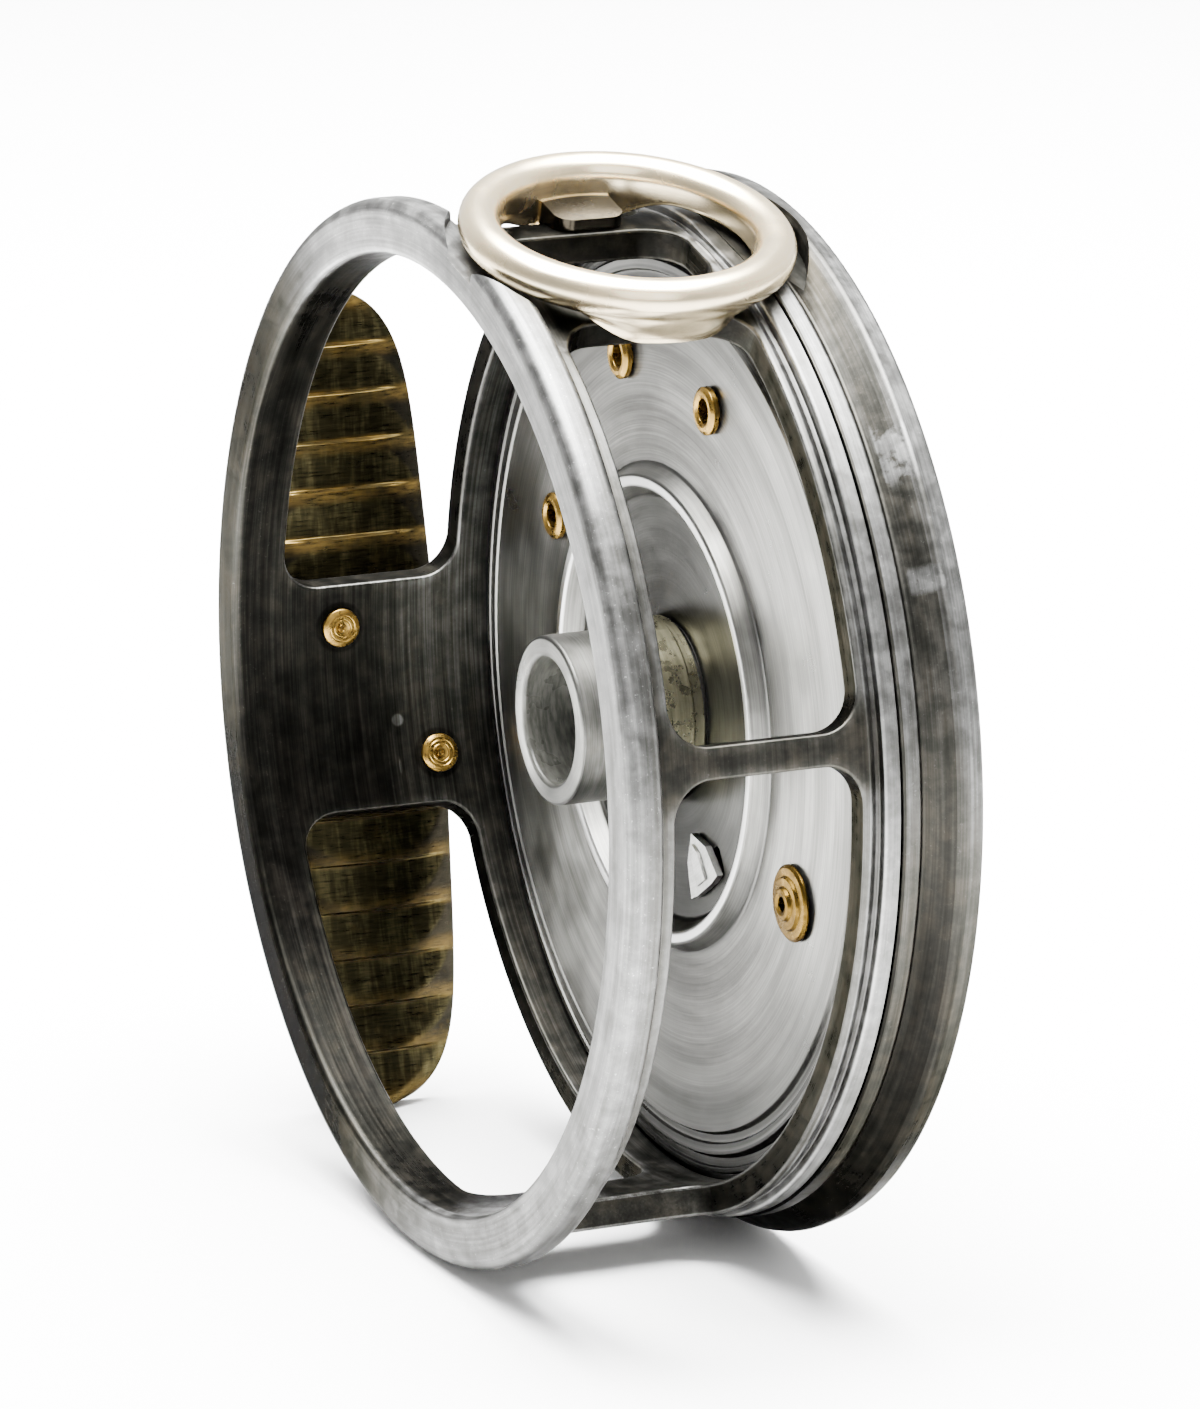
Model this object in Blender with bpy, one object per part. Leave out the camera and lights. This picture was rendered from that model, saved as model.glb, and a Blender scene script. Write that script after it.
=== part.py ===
"""Frame of a vintage fly-fishing reel, with the drum taken out.

A one-piece cage with its ring, pillars and windows is closed at the back by a cover and a bearing plate.
The click check and its regulator work in the flat housing between the plate and the cover.
The spindle lies along Y and the front of the reel looks along -Y. The origin is where the spindle's
axis meets the flat back of the cover. Depths are measured backwards, from just inside the front ring.
"""

from math import asin, atan2, cos, degrees, pi, radians, sin, sqrt

import bmesh
import bpy
from mathutils import Matrix, Vector

MM = 0.001

# Overall sizes, in millimetres. Depths start 29.1 in front of the back, just inside the front ring
REEL_DEPTH = 29.1
RING_RADIUS = 43.0
COVER_RADIUS = 43.5
BORE_RADIUS = 38.6
GAP = 0.3
RUNNING_GAP = 0.1

# Turning resolution: segments round a large ring, a middling piece and a small pin
LARGE = 60
MIDDLE = 28
SMALL = 12

# Cage
RING_FRONT = -0.6
RING_BACK = 2.8
RING_EDGE_FILLET = 1.2
WALL_RADIUS = 41.1
WALL_BACK = 20.4
GROOVE_RADIUS = 40.5
GROOVE_FRONT = 20.9
GROOVE_BACK = 21.3
BEAD_RADIUS = 41.5
BEAD_FILLET = 0.5
CAGE_END = 22.75
WINDOW_FRONT = 3.9
WINDOW_BACK = 19.8
WINDOW_FILLET = 3.2
WALL_CUT = (36.0, 48.0)

# Angles round the spindle, in degrees, from +X towards +Z
NARROW_PILLAR = (7.6, 11.2)
GUIDE_BRIDGE = (62.6, 87.6)
GUIDE_WINDOW = (68.0, 82.2)
FOOT_PILLAR = (175.6, 204.4)
BOTTOM_PILLAR = (274.0, 286.0)

# Line guide
GUIDE_ANGLE = 75.1
GUIDE_DEPTH = 13.5
GUIDE_HEIGHT = 43.0
GUIDE_RADIUS = 11.65
GUIDE_WIRE = 1.65
GUIDE_SEAT_ROOM = 1.0
GUIDE_SKIRT_FOOT = 38.7
GUIDE_HOOK_RADIUS = 8.6
GUIDE_FLANGE = (5.6, 39.6, 42.0)
GUIDE_FLANGE_HALF_WIDTH = 3.3
GUIDE_RELIEF_RADIUS = 9.7
GUIDE_EDGE_ROOM = 0.45
GUIDE_SEAT_HEIGHT = 41.0
GUIDE_TAB_WIDTH = 7.0
GUIDE_SCREW_OFFSET = 7.0
GUIDE_SCREW_HEAD = 1.4
GUIDE_SCREW_RADIUS = 0.8
GUIDE_SCREW_GRIP = 1.0

# Reel foot
FOOT_ANGLE = 190.5
FOOT_DEPTH = 12.4
FOOT_SHIFT = -0.4
FOOT_HALF_LENGTH = 35.3
FOOT_HALF_WIDTH = 8.2
FOOT_UNDERSIDE = 41.9
FOOT_TOP = 44.6
FOOT_TIP_RISE = 1.7
FOOT_CROWN = 2.5
FOOT_FLARE = 1.5
FOOT_FLAT = 0.35
FOOT_SEAT_HALF = 9.6
RIB_START = 13.9
RIB_PITCH = 4.1
RIB_COUNT = 5
RIB_DEPTH = 0.45
RIVET_PLACES = {"foot_rivet_upper": (181.1, 9.1), "foot_rivet_lower": (198.6, 17.3)}
RIVET_HOLE = 1.25
RIVET_SHANK = 1.1
RIVET_HEAD = 1.65

# Bearing plate and hub
PLATE_RADIUS = 39.7
PLATE_FRONT = 21.9
PLATE_BACK = 24.1
PLATE_CUT = (20.0, 26.0)
PLATE_RIM_FRONT = 23.05
PLATE_FACE_RADIUS = 34.7
FIRST_STEP_RADIUS = 36.6
FIRST_STEP_DEPTH = 22.3
SECOND_STEP_RADIUS = 37.9
SECOND_STEP_DEPTH = 22.7
FLOOR_DEPTH = 22.2
RIDGE_INNER = 17.9
RIDGE_OUTER = 19.5
RIDGE_CREST = 20.5
RIDGE_FILLET = 0.6
TUBE_RADIUS = 6.9
TUBE_BORE = 5.15
TUBE_FRONT = 11.5
TUBE_BACK = 27.1
TUBE_FILLET = 0.35
COLLAR_RADIUS = 7.8
COLLAR_FRONT = 17.3
COLLAR_FILLET = 0.3
NUT_RADIUS = 9.6
NUT_BACK = 26.7

# Cover
COVER_FRONT = 23.05
COVER_INSIDE = 27.5
COVER_SHOULDER = 24.4
COVER_WALL_RADIUS = 37.6
COVER_BACK_RADIUS = 43.0
COVER_EDGE_DEPTH = 27.2
COVER_NECK_RADIUS = 41.1
COVER_NECK_DEPTH = 24.5
COVER_BEAD_RADIUS = 41.7

# Three threaded brass bushes in the plate, each with a post and a screw behind it: radius and angle
BUSHES = {"left": (24.2, 151.6), "top": (28.8, 106.1), "right": (27.7, 71.8)}
BUSH_FLANGE = 1.95
BUSH_BODY = 1.4
BUSH_SEAT = PLATE_FRONT - 0.25
BUSH_BACK = 24.0
POST_RADIUS = 2.4
POST_BORE = 1.1
SCREW_RADIUS = 0.85
SCREW_HEAD = 2.0
SCREW_TIP = 22.9
SCREW_SLOT_HALF = 0.3

# Regulator
REGULATOR_PLACE = (26.5, -22.3)
REGULATOR_TURN = 180.0
CAM_LOW = 2.6
CAM_RISE = 0.9
BUTTON_RADIUS = 4.2
BUTTON_FRONT = 28.4
BUTTON_BACK = 29.0
RECESS_DEPTH = 28.2
SHAFT_RADIUS = 1.2
SHAFT_FRONT = 22.5
SHAFT_BACK = 28.75
SOCKET_RADIUS = 2.15

# Click check
PAWL_ANGLE = -57.0
PAWL_PIVOT_RADIUS = 22.0
PAWL_TAIL = 7.0
PAWL_TAIL_OUT = 1.5
PAWL_REACH = 11.2
PAWL_HOLE = 1.3
STUD_RADIUS = 1.2
STUD_SHOULDER = 2.3
TAIL_PIN_RADIUS = 0.6
SPRING_LENGTH = 17.0
SPRING_FRONT = 26.3
SPRING_BACK = 27.1
SPRING_POST_RADIUS = 0.7
SPRING_HOLE = 0.8
ACTION_FRONT = 24.5
ACTION_BACK = 26.0
ARM_INNER = 32.9
ARM_OUTER = 34.9
ARM_EYE_RADIUS = 31.2
CAM_CLEARANCE = 0.12

MATERIALS = {
    "dark_alloy": ((0.115, 0.112, 0.105), 0.42, 0.9),
    "bright_alloy": ((0.62, 0.63, 0.63), 0.30, 1.0),
    "nickel_silver": ((0.74, 0.69, 0.59), 0.25, 1.0),
    "aged_brass": ((0.23, 0.17, 0.07), 0.38, 1.0),
    "bright_brass": ((0.72, 0.49, 0.16), 0.28, 1.0),
    "spring_steel": ((0.36, 0.37, 0.40), 0.30, 1.0),
    "blued_steel": ((0.10, 0.11, 0.14), 0.35, 1.0),
}


# ---------------------------------------------------------------- scene helpers


def clear_scene():
    for old in list(bpy.data.objects):
        bpy.data.objects.remove(old, do_unlink=True)


def material(name):
    """The Principled material of one finish, made once."""
    found = bpy.data.materials.get(name)
    if found:
        return found
    colour, roughness, metallic = MATERIALS[name]
    made = bpy.data.materials.new(name)
    made.use_nodes = True
    shader = made.node_tree.nodes["Principled BSDF"]
    shader.inputs["Base Color"].default_value = (*colour, 1.0)
    shader.inputs["Roughness"].default_value = roughness
    shader.inputs["Metallic"].default_value = metallic
    made.diffuse_color = (*colour, 1.0)
    return made


def new_object(name, bm, finish=None):
    """Turns a bmesh into a named object with its faces out and its round faces smooth."""
    bmesh.ops.remove_doubles(bm, verts=bm.verts, dist=1e-7)
    bmesh.ops.recalc_face_normals(bm, faces=bm.faces)
    mesh = bpy.data.meshes.new(name)
    bm.to_mesh(mesh)
    bm.free()
    mesh.shade_smooth()
    mesh.set_sharp_from_angle(angle=radians(35))
    obj = bpy.data.objects.new(name, mesh)
    bpy.context.scene.collection.objects.link(obj)
    if finish:
        mesh.materials.append(material(finish))
    return obj


def subtract(obj, bm):
    """Cuts the closed shapes in a bmesh out of an object."""
    cutter = new_object(f"{obj.name}_cutter", bm)
    cutter.hide_render = True
    cutter.display_type = "WIRE"
    cut = obj.modifiers.new("cut", "BOOLEAN")
    cut.operation = "DIFFERENCE"
    cut.solver = "EXACT"
    cut.object = cutter
    return cutter


def set_origin(obj, point):
    """Moves an object's origin to a point and leaves its shape where it is."""
    obj.data.transform(Matrix.Translation(-point))
    obj.location = point


# ---------------------------------------------------------------- places and frames


def place(radius, angle, depth):
    """World point at a radius and angle round the spindle and a depth behind the front ring."""
    turn = radians(angle)
    return Vector((radius * cos(turn) * MM, (depth - REEL_DEPTH) * MM, radius * sin(turn) * MM))


def spindle_frame(radius=0.0, angle=0.0):
    """Frame whose Z runs backwards along a line parallel to the spindle, with Z = 0 at the front ring."""
    return Matrix.Translation(place(radius, angle, 0.0)) @ Matrix.Rotation(radians(-90), 4, "X")


def radial_frame(angle, depth):
    """Frame on the spindle's axis: Z points outwards at this angle, Y backwards, X round the reel."""
    return Matrix.Translation(place(0.0, 0.0, depth)) @ Matrix.Rotation(radians(90 - angle), 4, "Y")


# ---------------------------------------------------------------- outlines


def filleted(corners, steps=1):
    """Outline through corners given as (x, y) or, where the corner is an arc, (x, y, radius)."""
    points = []
    for index, corner in enumerate(corners):
        here = Vector(corner[:2])
        radius = corner[2] if len(corner) > 2 else 0.0
        before = Vector(corners[index - 1][:2])
        after = Vector(corners[(index + 1) % len(corners)][:2])
        if radius <= 0.0:
            points.append(tuple(here))
            continue
        back = (before - here).normalized()
        ahead = (after - here).normalized()
        half = back.angle(ahead) / 2
        reach = radius / abs(sin(half) / cos(half))
        centre = here + (back + ahead).normalized() * (radius / sin(half))
        start = here + back * reach
        end = here + ahead * reach
        first = atan2(start.y - centre.y, start.x - centre.x)
        sweep = atan2(end.y - centre.y, end.x - centre.x) - first
        sweep = (sweep + pi) % (2 * pi) - pi
        for step in range(steps + 1):
            turn = first + sweep * step / steps
            points.append((centre.x + radius * cos(turn), centre.y + radius * sin(turn)))
    return points


def arc(centre, radius, start, end, steps):
    """Points on an arc, in degrees."""
    turns = [radians(start + (end - start) * step / steps) for step in range(steps + 1)]
    return [(centre[0] + radius * cos(turn), centre[1] + radius * sin(turn)) for turn in turns]


# ---------------------------------------------------------------- solids


def add_turned(bm, profile, frame, segments, closed=True):
    """Spins a profile of (radius, height) round the frame's Z. An open one starts and ends on the axis."""
    verts = [bm.verts.new(frame @ Vector((radius * MM, 0, height * MM))) for radius, height in profile]
    pairs = list(zip(verts, verts[1:]))
    if closed:
        pairs.append((verts[-1], verts[0]))
    edges = [bm.edges.new(pair) for pair in pairs]
    bmesh.ops.spin(
        bm,
        geom=verts + edges,
        cent=frame.translation,
        axis=frame.col[2].to_3d(),
        angle=2 * pi,
        steps=segments,
        use_merge=True,
    )
    bmesh.ops.remove_doubles(bm, verts=bm.verts, dist=1e-7)


def add_prism(bm, outline, frame, low, high):
    """Extrudes a closed outline along the frame's Z, between two heights."""
    base = [bm.verts.new(frame @ Vector((x * MM, y * MM, low * MM))) for x, y in outline]
    face = bm.faces.new(base)
    moved = bmesh.ops.extrude_face_region(bm, geom=[face])
    verts = [part for part in moved["geom"] if isinstance(part, bmesh.types.BMVert)]
    bmesh.ops.translate(bm, verts=verts, vec=frame.to_3x3() @ Vector((0, 0, (high - low) * MM)))


def add_pin(bm, frame, radius, low, high, segments=SMALL):
    """Adds a plain round pin along the frame's Z."""
    add_turned(bm, [(0, low), (radius, low), (radius, high), (0, high)], frame, segments, closed=False)


def turned(name, profile, frame, segments, finish, closed=True):
    bm = bmesh.new()
    add_turned(bm, profile, frame, segments, closed)
    return new_object(name, bm, finish)


def add_wall_cut(bm, angles, depths, fillet):
    """Adds the block that cuts one window through the cage wall, with rounded corners."""
    mean_radius = (BORE_RADIUS + WALL_RADIUS) / 2
    low, high = (radians(angle) * mean_radius for angle in angles)
    front, back = depths
    corners = [(low, front, fillet), (high, front, fillet), (high, back, fillet), (low, back, fillet)]
    outline = []
    rounded = filleted(corners, steps=3)
    for here, after in zip(rounded, rounded[1:] + rounded[:1]):
        pieces = max(1, round(abs(after[0] - here[0]) / 3.6))
        for piece in range(pieces):
            share = piece / pieces
            outline.append((here[0] + (after[0] - here[0]) * share, here[1] + (after[1] - here[1]) * share))
    rings = []
    for radius in WALL_CUT:
        points = [place(radius, degrees(x / mean_radius), depth) for x, depth in outline]
        rings.append([bm.verts.new(point) for point in points])
    inner, outer = rings
    for index, vert in enumerate(inner):
        after = (index + 1) % len(inner)
        bm.faces.new((vert, inner[after], outer[after], outer[index]))
    for ring in rings:
        bmesh.ops.triangulate(bm, faces=[bm.faces.new(ring)])


# ---------------------------------------------------------------- cage, cover and plate


def add_guide_seat(bm):
    """Adds the round flat that the line guide needs in the front ring, the flange and the cover."""
    frame = radial_frame(GUIDE_ANGLE, GUIDE_DEPTH)
    radius = GUIDE_RADIUS + GUIDE_WIRE + GUIDE_SEAT_ROOM
    add_pin(bm, frame, radius, GUIDE_SEAT_HEIGHT, GUIDE_HEIGHT + 4, MIDDLE)


def make_cage():
    profile = filleted(
        [
            (BORE_RADIUS, CAGE_END),
            (BORE_RADIUS, RING_FRONT, 0.6),
            (RING_RADIUS, RING_FRONT, RING_EDGE_FILLET),
            (RING_RADIUS, RING_BACK - 0.6, 0.7),
            (WALL_RADIUS, RING_BACK),
            (WALL_RADIUS, WALL_BACK),
            (GROOVE_RADIUS, GROOVE_FRONT),
            (GROOVE_RADIUS, GROOVE_BACK),
            (BEAD_RADIUS, GROOVE_BACK + 0.1, BEAD_FILLET),
            (BEAD_RADIUS, CAGE_END, BEAD_FILLET),
        ]
    )
    cage = turned("cage", profile, spindle_frame(), LARGE, "dark_alloy")
    windows = bmesh.new()
    depths = (WINDOW_FRONT, WINDOW_BACK)
    add_wall_cut(windows, (NARROW_PILLAR[1], GUIDE_BRIDGE[0]), depths, WINDOW_FILLET)
    add_wall_cut(windows, GUIDE_WINDOW, depths, WINDOW_FILLET)
    add_wall_cut(windows, (GUIDE_BRIDGE[1], FOOT_PILLAR[0]), depths, WINDOW_FILLET)
    add_wall_cut(windows, (FOOT_PILLAR[1], BOTTOM_PILLAR[0]), depths, WINDOW_FILLET)
    add_wall_cut(windows, (BOTTOM_PILLAR[1], 360 + NARROW_PILLAR[0]), depths, WINDOW_FILLET)
    subtract(cage, windows)
    details = bmesh.new()
    add_guide_seat(details)
    for angle, depth in RIVET_PLACES.values():
        add_pin(details, radial_frame(angle, depth), RIVET_HOLE, *WALL_CUT)
    for side in (-1, 1):
        add_guide_screw(details, side, grow=0.15)
    subtract(cage, details).name = "cage_detail_cutter"


def make_cover():
    profile = filleted(
        [
            (0.0, REEL_DEPTH),
            (COVER_BACK_RADIUS, REEL_DEPTH, 0.6),
            (COVER_RADIUS, COVER_EDGE_DEPTH, 0.5),
            (COVER_NECK_RADIUS, COVER_NECK_DEPTH, 0.3),
            (COVER_BEAD_RADIUS, COVER_NECK_DEPTH - 0.3, 0.25),
            (COVER_BEAD_RADIUS, COVER_FRONT, 0.5),
            (PLATE_RADIUS + GAP, COVER_FRONT),
            (PLATE_RADIUS + GAP, COVER_SHOULDER),
            (COVER_WALL_RADIUS, COVER_SHOULDER),
            (COVER_WALL_RADIUS, COVER_INSIDE, 0.8),
            (0.0, COVER_INSIDE),
        ]
    )
    cover = turned("back_cover", profile, spindle_frame(), LARGE, "dark_alloy", closed=False)
    cuts = bmesh.new()
    add_guide_seat(cuts)
    for radius, angle in BUSHES.values():
        frame = spindle_frame(radius, angle)
        add_turned(cuts, screw_profile(0.15), frame, SMALL, closed=False)
    frame = spindle_frame(*REGULATOR_PLACE)
    recess_radius = BUTTON_RADIUS + 0.2
    recess = [(0, REEL_DEPTH + 1), (recess_radius, REEL_DEPTH + 1), (recess_radius, RECESS_DEPTH)]
    hole_radius = SHAFT_RADIUS + RUNNING_GAP
    hole = [(hole_radius, RECESS_DEPTH), (hole_radius, COVER_INSIDE - 1.5), (0, COVER_INSIDE - 1.5)]
    add_turned(cuts, recess + hole, frame, MIDDLE, closed=False)
    subtract(cover, cuts)


def make_plate():
    profile = filleted(
        [
            (TUBE_RADIUS + 0.25, PLATE_BACK),
            (TUBE_RADIUS + 0.25, FLOOR_DEPTH),
            (RIDGE_INNER - 0.4, FLOOR_DEPTH),
            (RIDGE_INNER, RIDGE_CREST, RIDGE_FILLET),
            (RIDGE_OUTER, RIDGE_CREST, RIDGE_FILLET),
            (RIDGE_OUTER + 0.5, PLATE_FRONT),
            (PLATE_FACE_RADIUS, PLATE_FRONT),
            (PLATE_FACE_RADIUS + 0.3, FIRST_STEP_DEPTH),
            (FIRST_STEP_RADIUS, FIRST_STEP_DEPTH),
            (FIRST_STEP_RADIUS + 0.3, SECOND_STEP_DEPTH),
            (SECOND_STEP_RADIUS, SECOND_STEP_DEPTH),
            (SECOND_STEP_RADIUS + 0.2, PLATE_RIM_FRONT),
            (PLATE_RADIUS, PLATE_RIM_FRONT),
            (PLATE_RADIUS, PLATE_BACK),
        ]
    )
    plate = turned("bearing_plate", profile, spindle_frame(), LARGE, "bright_alloy")
    cuts = bmesh.new()
    for radius, angle in BUSHES.values():
        add_pin(cuts, spindle_frame(radius, angle), BUSH_BODY + 0.2, *PLATE_CUT)
    add_pin(cuts, spindle_frame(*REGULATOR_PLACE), SOCKET_RADIUS + 0.2, *PLATE_CUT, 24)
    add_prism(cuts, pawl_window(), spindle_frame(), *PLATE_CUT)
    subtract(plate, cuts)


# ---------------------------------------------------------------- hub


def make_hub():
    frame = spindle_frame()
    tube = filleted(
        [
            (TUBE_BORE, TUBE_BACK),
            (TUBE_BORE, TUBE_FRONT, TUBE_FILLET),
            (TUBE_RADIUS, TUBE_FRONT, TUBE_FILLET),
            (TUBE_RADIUS, TUBE_BACK),
        ]
    )
    turned("hub_tube", tube, frame, MIDDLE, "bright_alloy")
    collar = filleted(
        [
            (TUBE_RADIUS + 0.2, FLOOR_DEPTH - GAP),
            (TUBE_RADIUS + 0.2, COLLAR_FRONT),
            (COLLAR_RADIUS, COLLAR_FRONT, COLLAR_FILLET),
            (COLLAR_RADIUS, FLOOR_DEPTH - GAP),
        ]
    )
    turned("hub_collar", collar, frame, MIDDLE, "bright_brass")
    nut = bmesh.new()
    hexagon = [(NUT_RADIUS * cos(k * pi / 3), NUT_RADIUS * sin(k * pi / 3)) for k in range(6)]
    add_prism(nut, hexagon, frame, ACTION_FRONT, NUT_BACK)
    nut = new_object("hub_nut", nut, "bright_brass")
    hole = bmesh.new()
    add_pin(hole, frame, TUBE_RADIUS + 0.2, ACTION_FRONT - 1, NUT_BACK + 1, MIDDLE)
    subtract(nut, hole)


# ---------------------------------------------------------------- line guide


def guide_profile():
    """Round lip, skirt, the hook over the edge of the bridge, and the flange that the screws hold."""
    lip = arc((GUIDE_RADIUS, GUIDE_HEIGHT), GUIDE_WIRE, 180, -50, 7)
    waist = [(12.1, 41.3), (11.7, 40.6)]
    inner, low, high = GUIDE_FLANGE
    foot = [(11.4, GUIDE_SKIRT_FOOT), (GUIDE_HOOK_RADIUS, GUIDE_SKIRT_FOOT), (GUIDE_HOOK_RADIUS, low)]
    flange = [(inner, low), (inner, high), (GUIDE_RADIUS - GUIDE_WIRE, high)]
    return lip + waist + foot + flange


def bridge_sector(radius):
    """Outline of the part of the wall that the guide straddles, across the spindle."""
    first, last = GUIDE_BRIDGE[0] - GUIDE_EDGE_ROOM, GUIDE_BRIDGE[1] + GUIDE_EDGE_ROOM
    outline = arc((0.0, 0.0), radius, -first, -last, 24)
    outline += [(30.0 * cos(radians(last)), -30.0 * sin(radians(last)))]
    outline += [(30.0 * cos(radians(first)), -30.0 * sin(radians(first)))]
    return outline


def guide_screw_frame(side):
    """Frame of one guide screw: Z points outwards, square to the cage wall where the screw goes through."""
    lean = degrees(asin(GUIDE_SCREW_OFFSET / WALL_RADIUS))
    return radial_frame(GUIDE_ANGLE - side * lean, GUIDE_DEPTH)


def add_guide_screw(bm, side, grow=0.0):
    """Adds a countersunk screw, from the bore of the cage into the guide. Grown, it is the hole for it."""
    head_radius = GUIDE_SCREW_HEAD + grow
    radius = GUIDE_SCREW_RADIUS + grow
    inner_end = BORE_RADIUS + 0.05 - grow * 8
    outer_end = WALL_RADIUS + GUIDE_SCREW_GRIP + grow
    head = [(0, inner_end), (head_radius, inner_end), (head_radius, BORE_RADIUS + 0.3)]
    shank = [(radius, BORE_RADIUS + 1.0), (radius, outer_end), (0, outer_end)]
    add_turned(bm, head + shank, guide_screw_frame(side), SMALL, closed=False)


def make_line_guide():
    frame = radial_frame(GUIDE_ANGLE, GUIDE_DEPTH)
    guide = turned("line_guide", guide_profile(), frame, 40, "nickel_silver")
    cuts = bmesh.new()
    add_prism(cuts, bridge_sector(WALL_RADIUS + GAP), spindle_frame(), -2.0, REEL_DEPTH + 2)
    subtract(guide, cuts)
    relief = bmesh.new()
    rise = degrees(asin(GUIDE_FLANGE_HALF_WIDTH / GUIDE_RELIEF_RADIUS))
    for start in (rise, rise + 180):
        outline = arc((0.0, 0.0), GUIDE_RELIEF_RADIUS, start, start + 180 - 2 * rise, 24)
        add_prism(relief, outline, frame, WALL_CUT[0], GUIDE_FLANGE[2] + 0.4)
    subtract(guide, relief).name = "line_guide_relief_cutter"
    sides = bmesh.new()
    low = GUIDE_SEAT_HEIGHT + GAP
    edge = GUIDE_TAB_WIDTH / 2
    for sign in (-1, 1):
        far = sign * (GUIDE_RADIUS + 4)
        reach = abs(far)
        outline = [(-reach, far), (reach, far), (reach, sign * edge), (-reach, sign * edge)]
        add_prism(sides, outline, frame, WALL_CUT[0], low)
    subtract(guide, sides).name = "line_guide_side_cutter"
    holes = bmesh.new()
    for side in (-1, 1):
        add_guide_screw(holes, side, grow=0.15)
    subtract(guide, holes).name = "line_guide_hole_cutter"
    for side, label in ((-1, "far"), (1, "near")):
        screw = bmesh.new()
        add_guide_screw(screw, side)
        new_object(f"line_guide_screw_{label}", screw, "nickel_silver")


# ---------------------------------------------------------------- reel foot


def foot_half_width(along):
    """Half the width of the foot at a distance from its middle: a slight taper and round ends."""
    reach = abs(along) / FOOT_HALF_LENGTH
    taper = FOOT_HALF_WIDTH - 0.9 * reach
    return taper * sqrt(max(0.0, 1.0 - reach**9))


def rib_cut(along, across):
    """Depth of the scallops between the gripping ribs, which fade out before the foot's long edges."""
    start = abs(along) - RIB_START
    if not 0.0 < start < RIB_COUNT * RIB_PITCH:
        return 0.0
    phase = (start / RIB_PITCH) % 1.0
    fade = min(1.0, max(0.0, (0.95 - abs(across)) / 0.3))
    return RIB_DEPTH * fade * (1.0 - (2.0 * phase - 1.0) ** 2)


def foot_underside(along, across):
    """Height of the side that faces the reel. The middle is hollowed to sit on the round cage."""
    seat = sqrt((WALL_RADIUS + GAP) ** 2 - min(abs(along), FOOT_SEAT_HALF + 1) ** 2)
    if abs(along) <= FOOT_SEAT_HALF:
        return seat
    ramp = (abs(along) - FOOT_SEAT_HALF) / (FOOT_HALF_LENGTH - FOOT_SEAT_HALF)
    crown = FOOT_CROWN - 1.1 * ramp
    return FOOT_UNDERSIDE + FOOT_TIP_RISE * ramp + crown * across**2 + rib_cut(along, across)


def foot_rod_side(across):
    """Height of the side that lies on the rod: a shallow trough with a flat floor."""
    flare = max(0.0, (abs(across) - FOOT_FLAT) / (1.0 - FOOT_FLAT))
    return FOOT_TOP + FOOT_FLARE * flare**2


def foot_stations():
    """Distances from the foot's middle at which its section is drawn."""
    half = [0.0, 3.2, 6.4, FOOT_SEAT_HALF, FOOT_SEAT_HALF + 0.9]
    for rib in range(RIB_COUNT):
        half += [RIB_START + RIB_PITCH * (rib + part) for part in (0.0, 0.3, 0.7)]
    half += [34.4, 34.95, 35.2]
    return [-value for value in reversed(half[1:])] + half


def make_foot():
    frame = radial_frame(FOOT_ANGLE, FOOT_DEPTH)
    under_shares = [-1.0, -0.72, -0.4, 0.0, 0.4, 0.72, 1.0]
    over_shares = [1.0, 0.7, FOOT_FLAT, -FOOT_FLAT, -0.7, -1.0]
    bm = bmesh.new()
    rings = []
    for along in foot_stations():
        width = foot_half_width(along)
        under = [(share * width, foot_underside(along, share)) for share in under_shares]
        over = [(share * width, foot_rod_side(share)) for share in over_shares]
        points = [frame @ (Vector((along + FOOT_SHIFT, y, z)) * MM) for y, z in under + over]
        rings.append([bm.verts.new(point) for point in points])
    for here, after in zip(rings, rings[1:]):
        for index in range(len(here)):
            following = (index + 1) % len(here)
            bm.faces.new((here[index], here[following], after[following], after[index]))
    for ring in (rings[0], rings[-1]):
        bm.faces.new(ring)
    bmesh.ops.triangulate(bm, faces=[face for face in bm.faces if len(face.verts) > 4])
    foot = new_object("reel_foot", bm, "aged_brass")
    holes = bmesh.new()
    for angle, depth in RIVET_PLACES.values():
        add_pin(holes, radial_frame(angle, depth), RIVET_HOLE, *WALL_CUT)
    subtract(foot, holes)
    for name, (angle, depth) in RIVET_PLACES.items():
        seat = BORE_RADIUS - 0.15
        pip = [(0, seat - 0.5), (0.35, seat - 0.65), (0.5, seat - 0.45)]
        head = [(RIVET_HEAD - 0.35, seat - 0.45), (RIVET_HEAD, seat - 0.25), (RIVET_HEAD, seat)]
        shank = [(RIVET_SHANK, seat), (RIVET_SHANK, FOOT_TOP - 0.1), (0, FOOT_TOP - 0.1)]
        rivet_frame = radial_frame(angle, depth)
        turned(name, pip + head + shank, rivet_frame, 16, "bright_brass", closed=False)


# ---------------------------------------------------------------- bushes, posts and screws


def screw_profile(grow=0.0):
    """Countersunk cover screw, from its tip in the bush to its head in the back of the cover."""
    radius = SCREW_RADIUS + grow
    head_radius = SCREW_HEAD + grow
    head_back = REEL_DEPTH - 0.15 + grow * 6
    tip = [(0, SCREW_TIP - grow), (radius, SCREW_TIP - grow)]
    cone = [(radius, REEL_DEPTH - 1.2), (head_radius, REEL_DEPTH - 0.3)]
    return tip + cone + [(head_radius, head_back), (0, head_back)]


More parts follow.
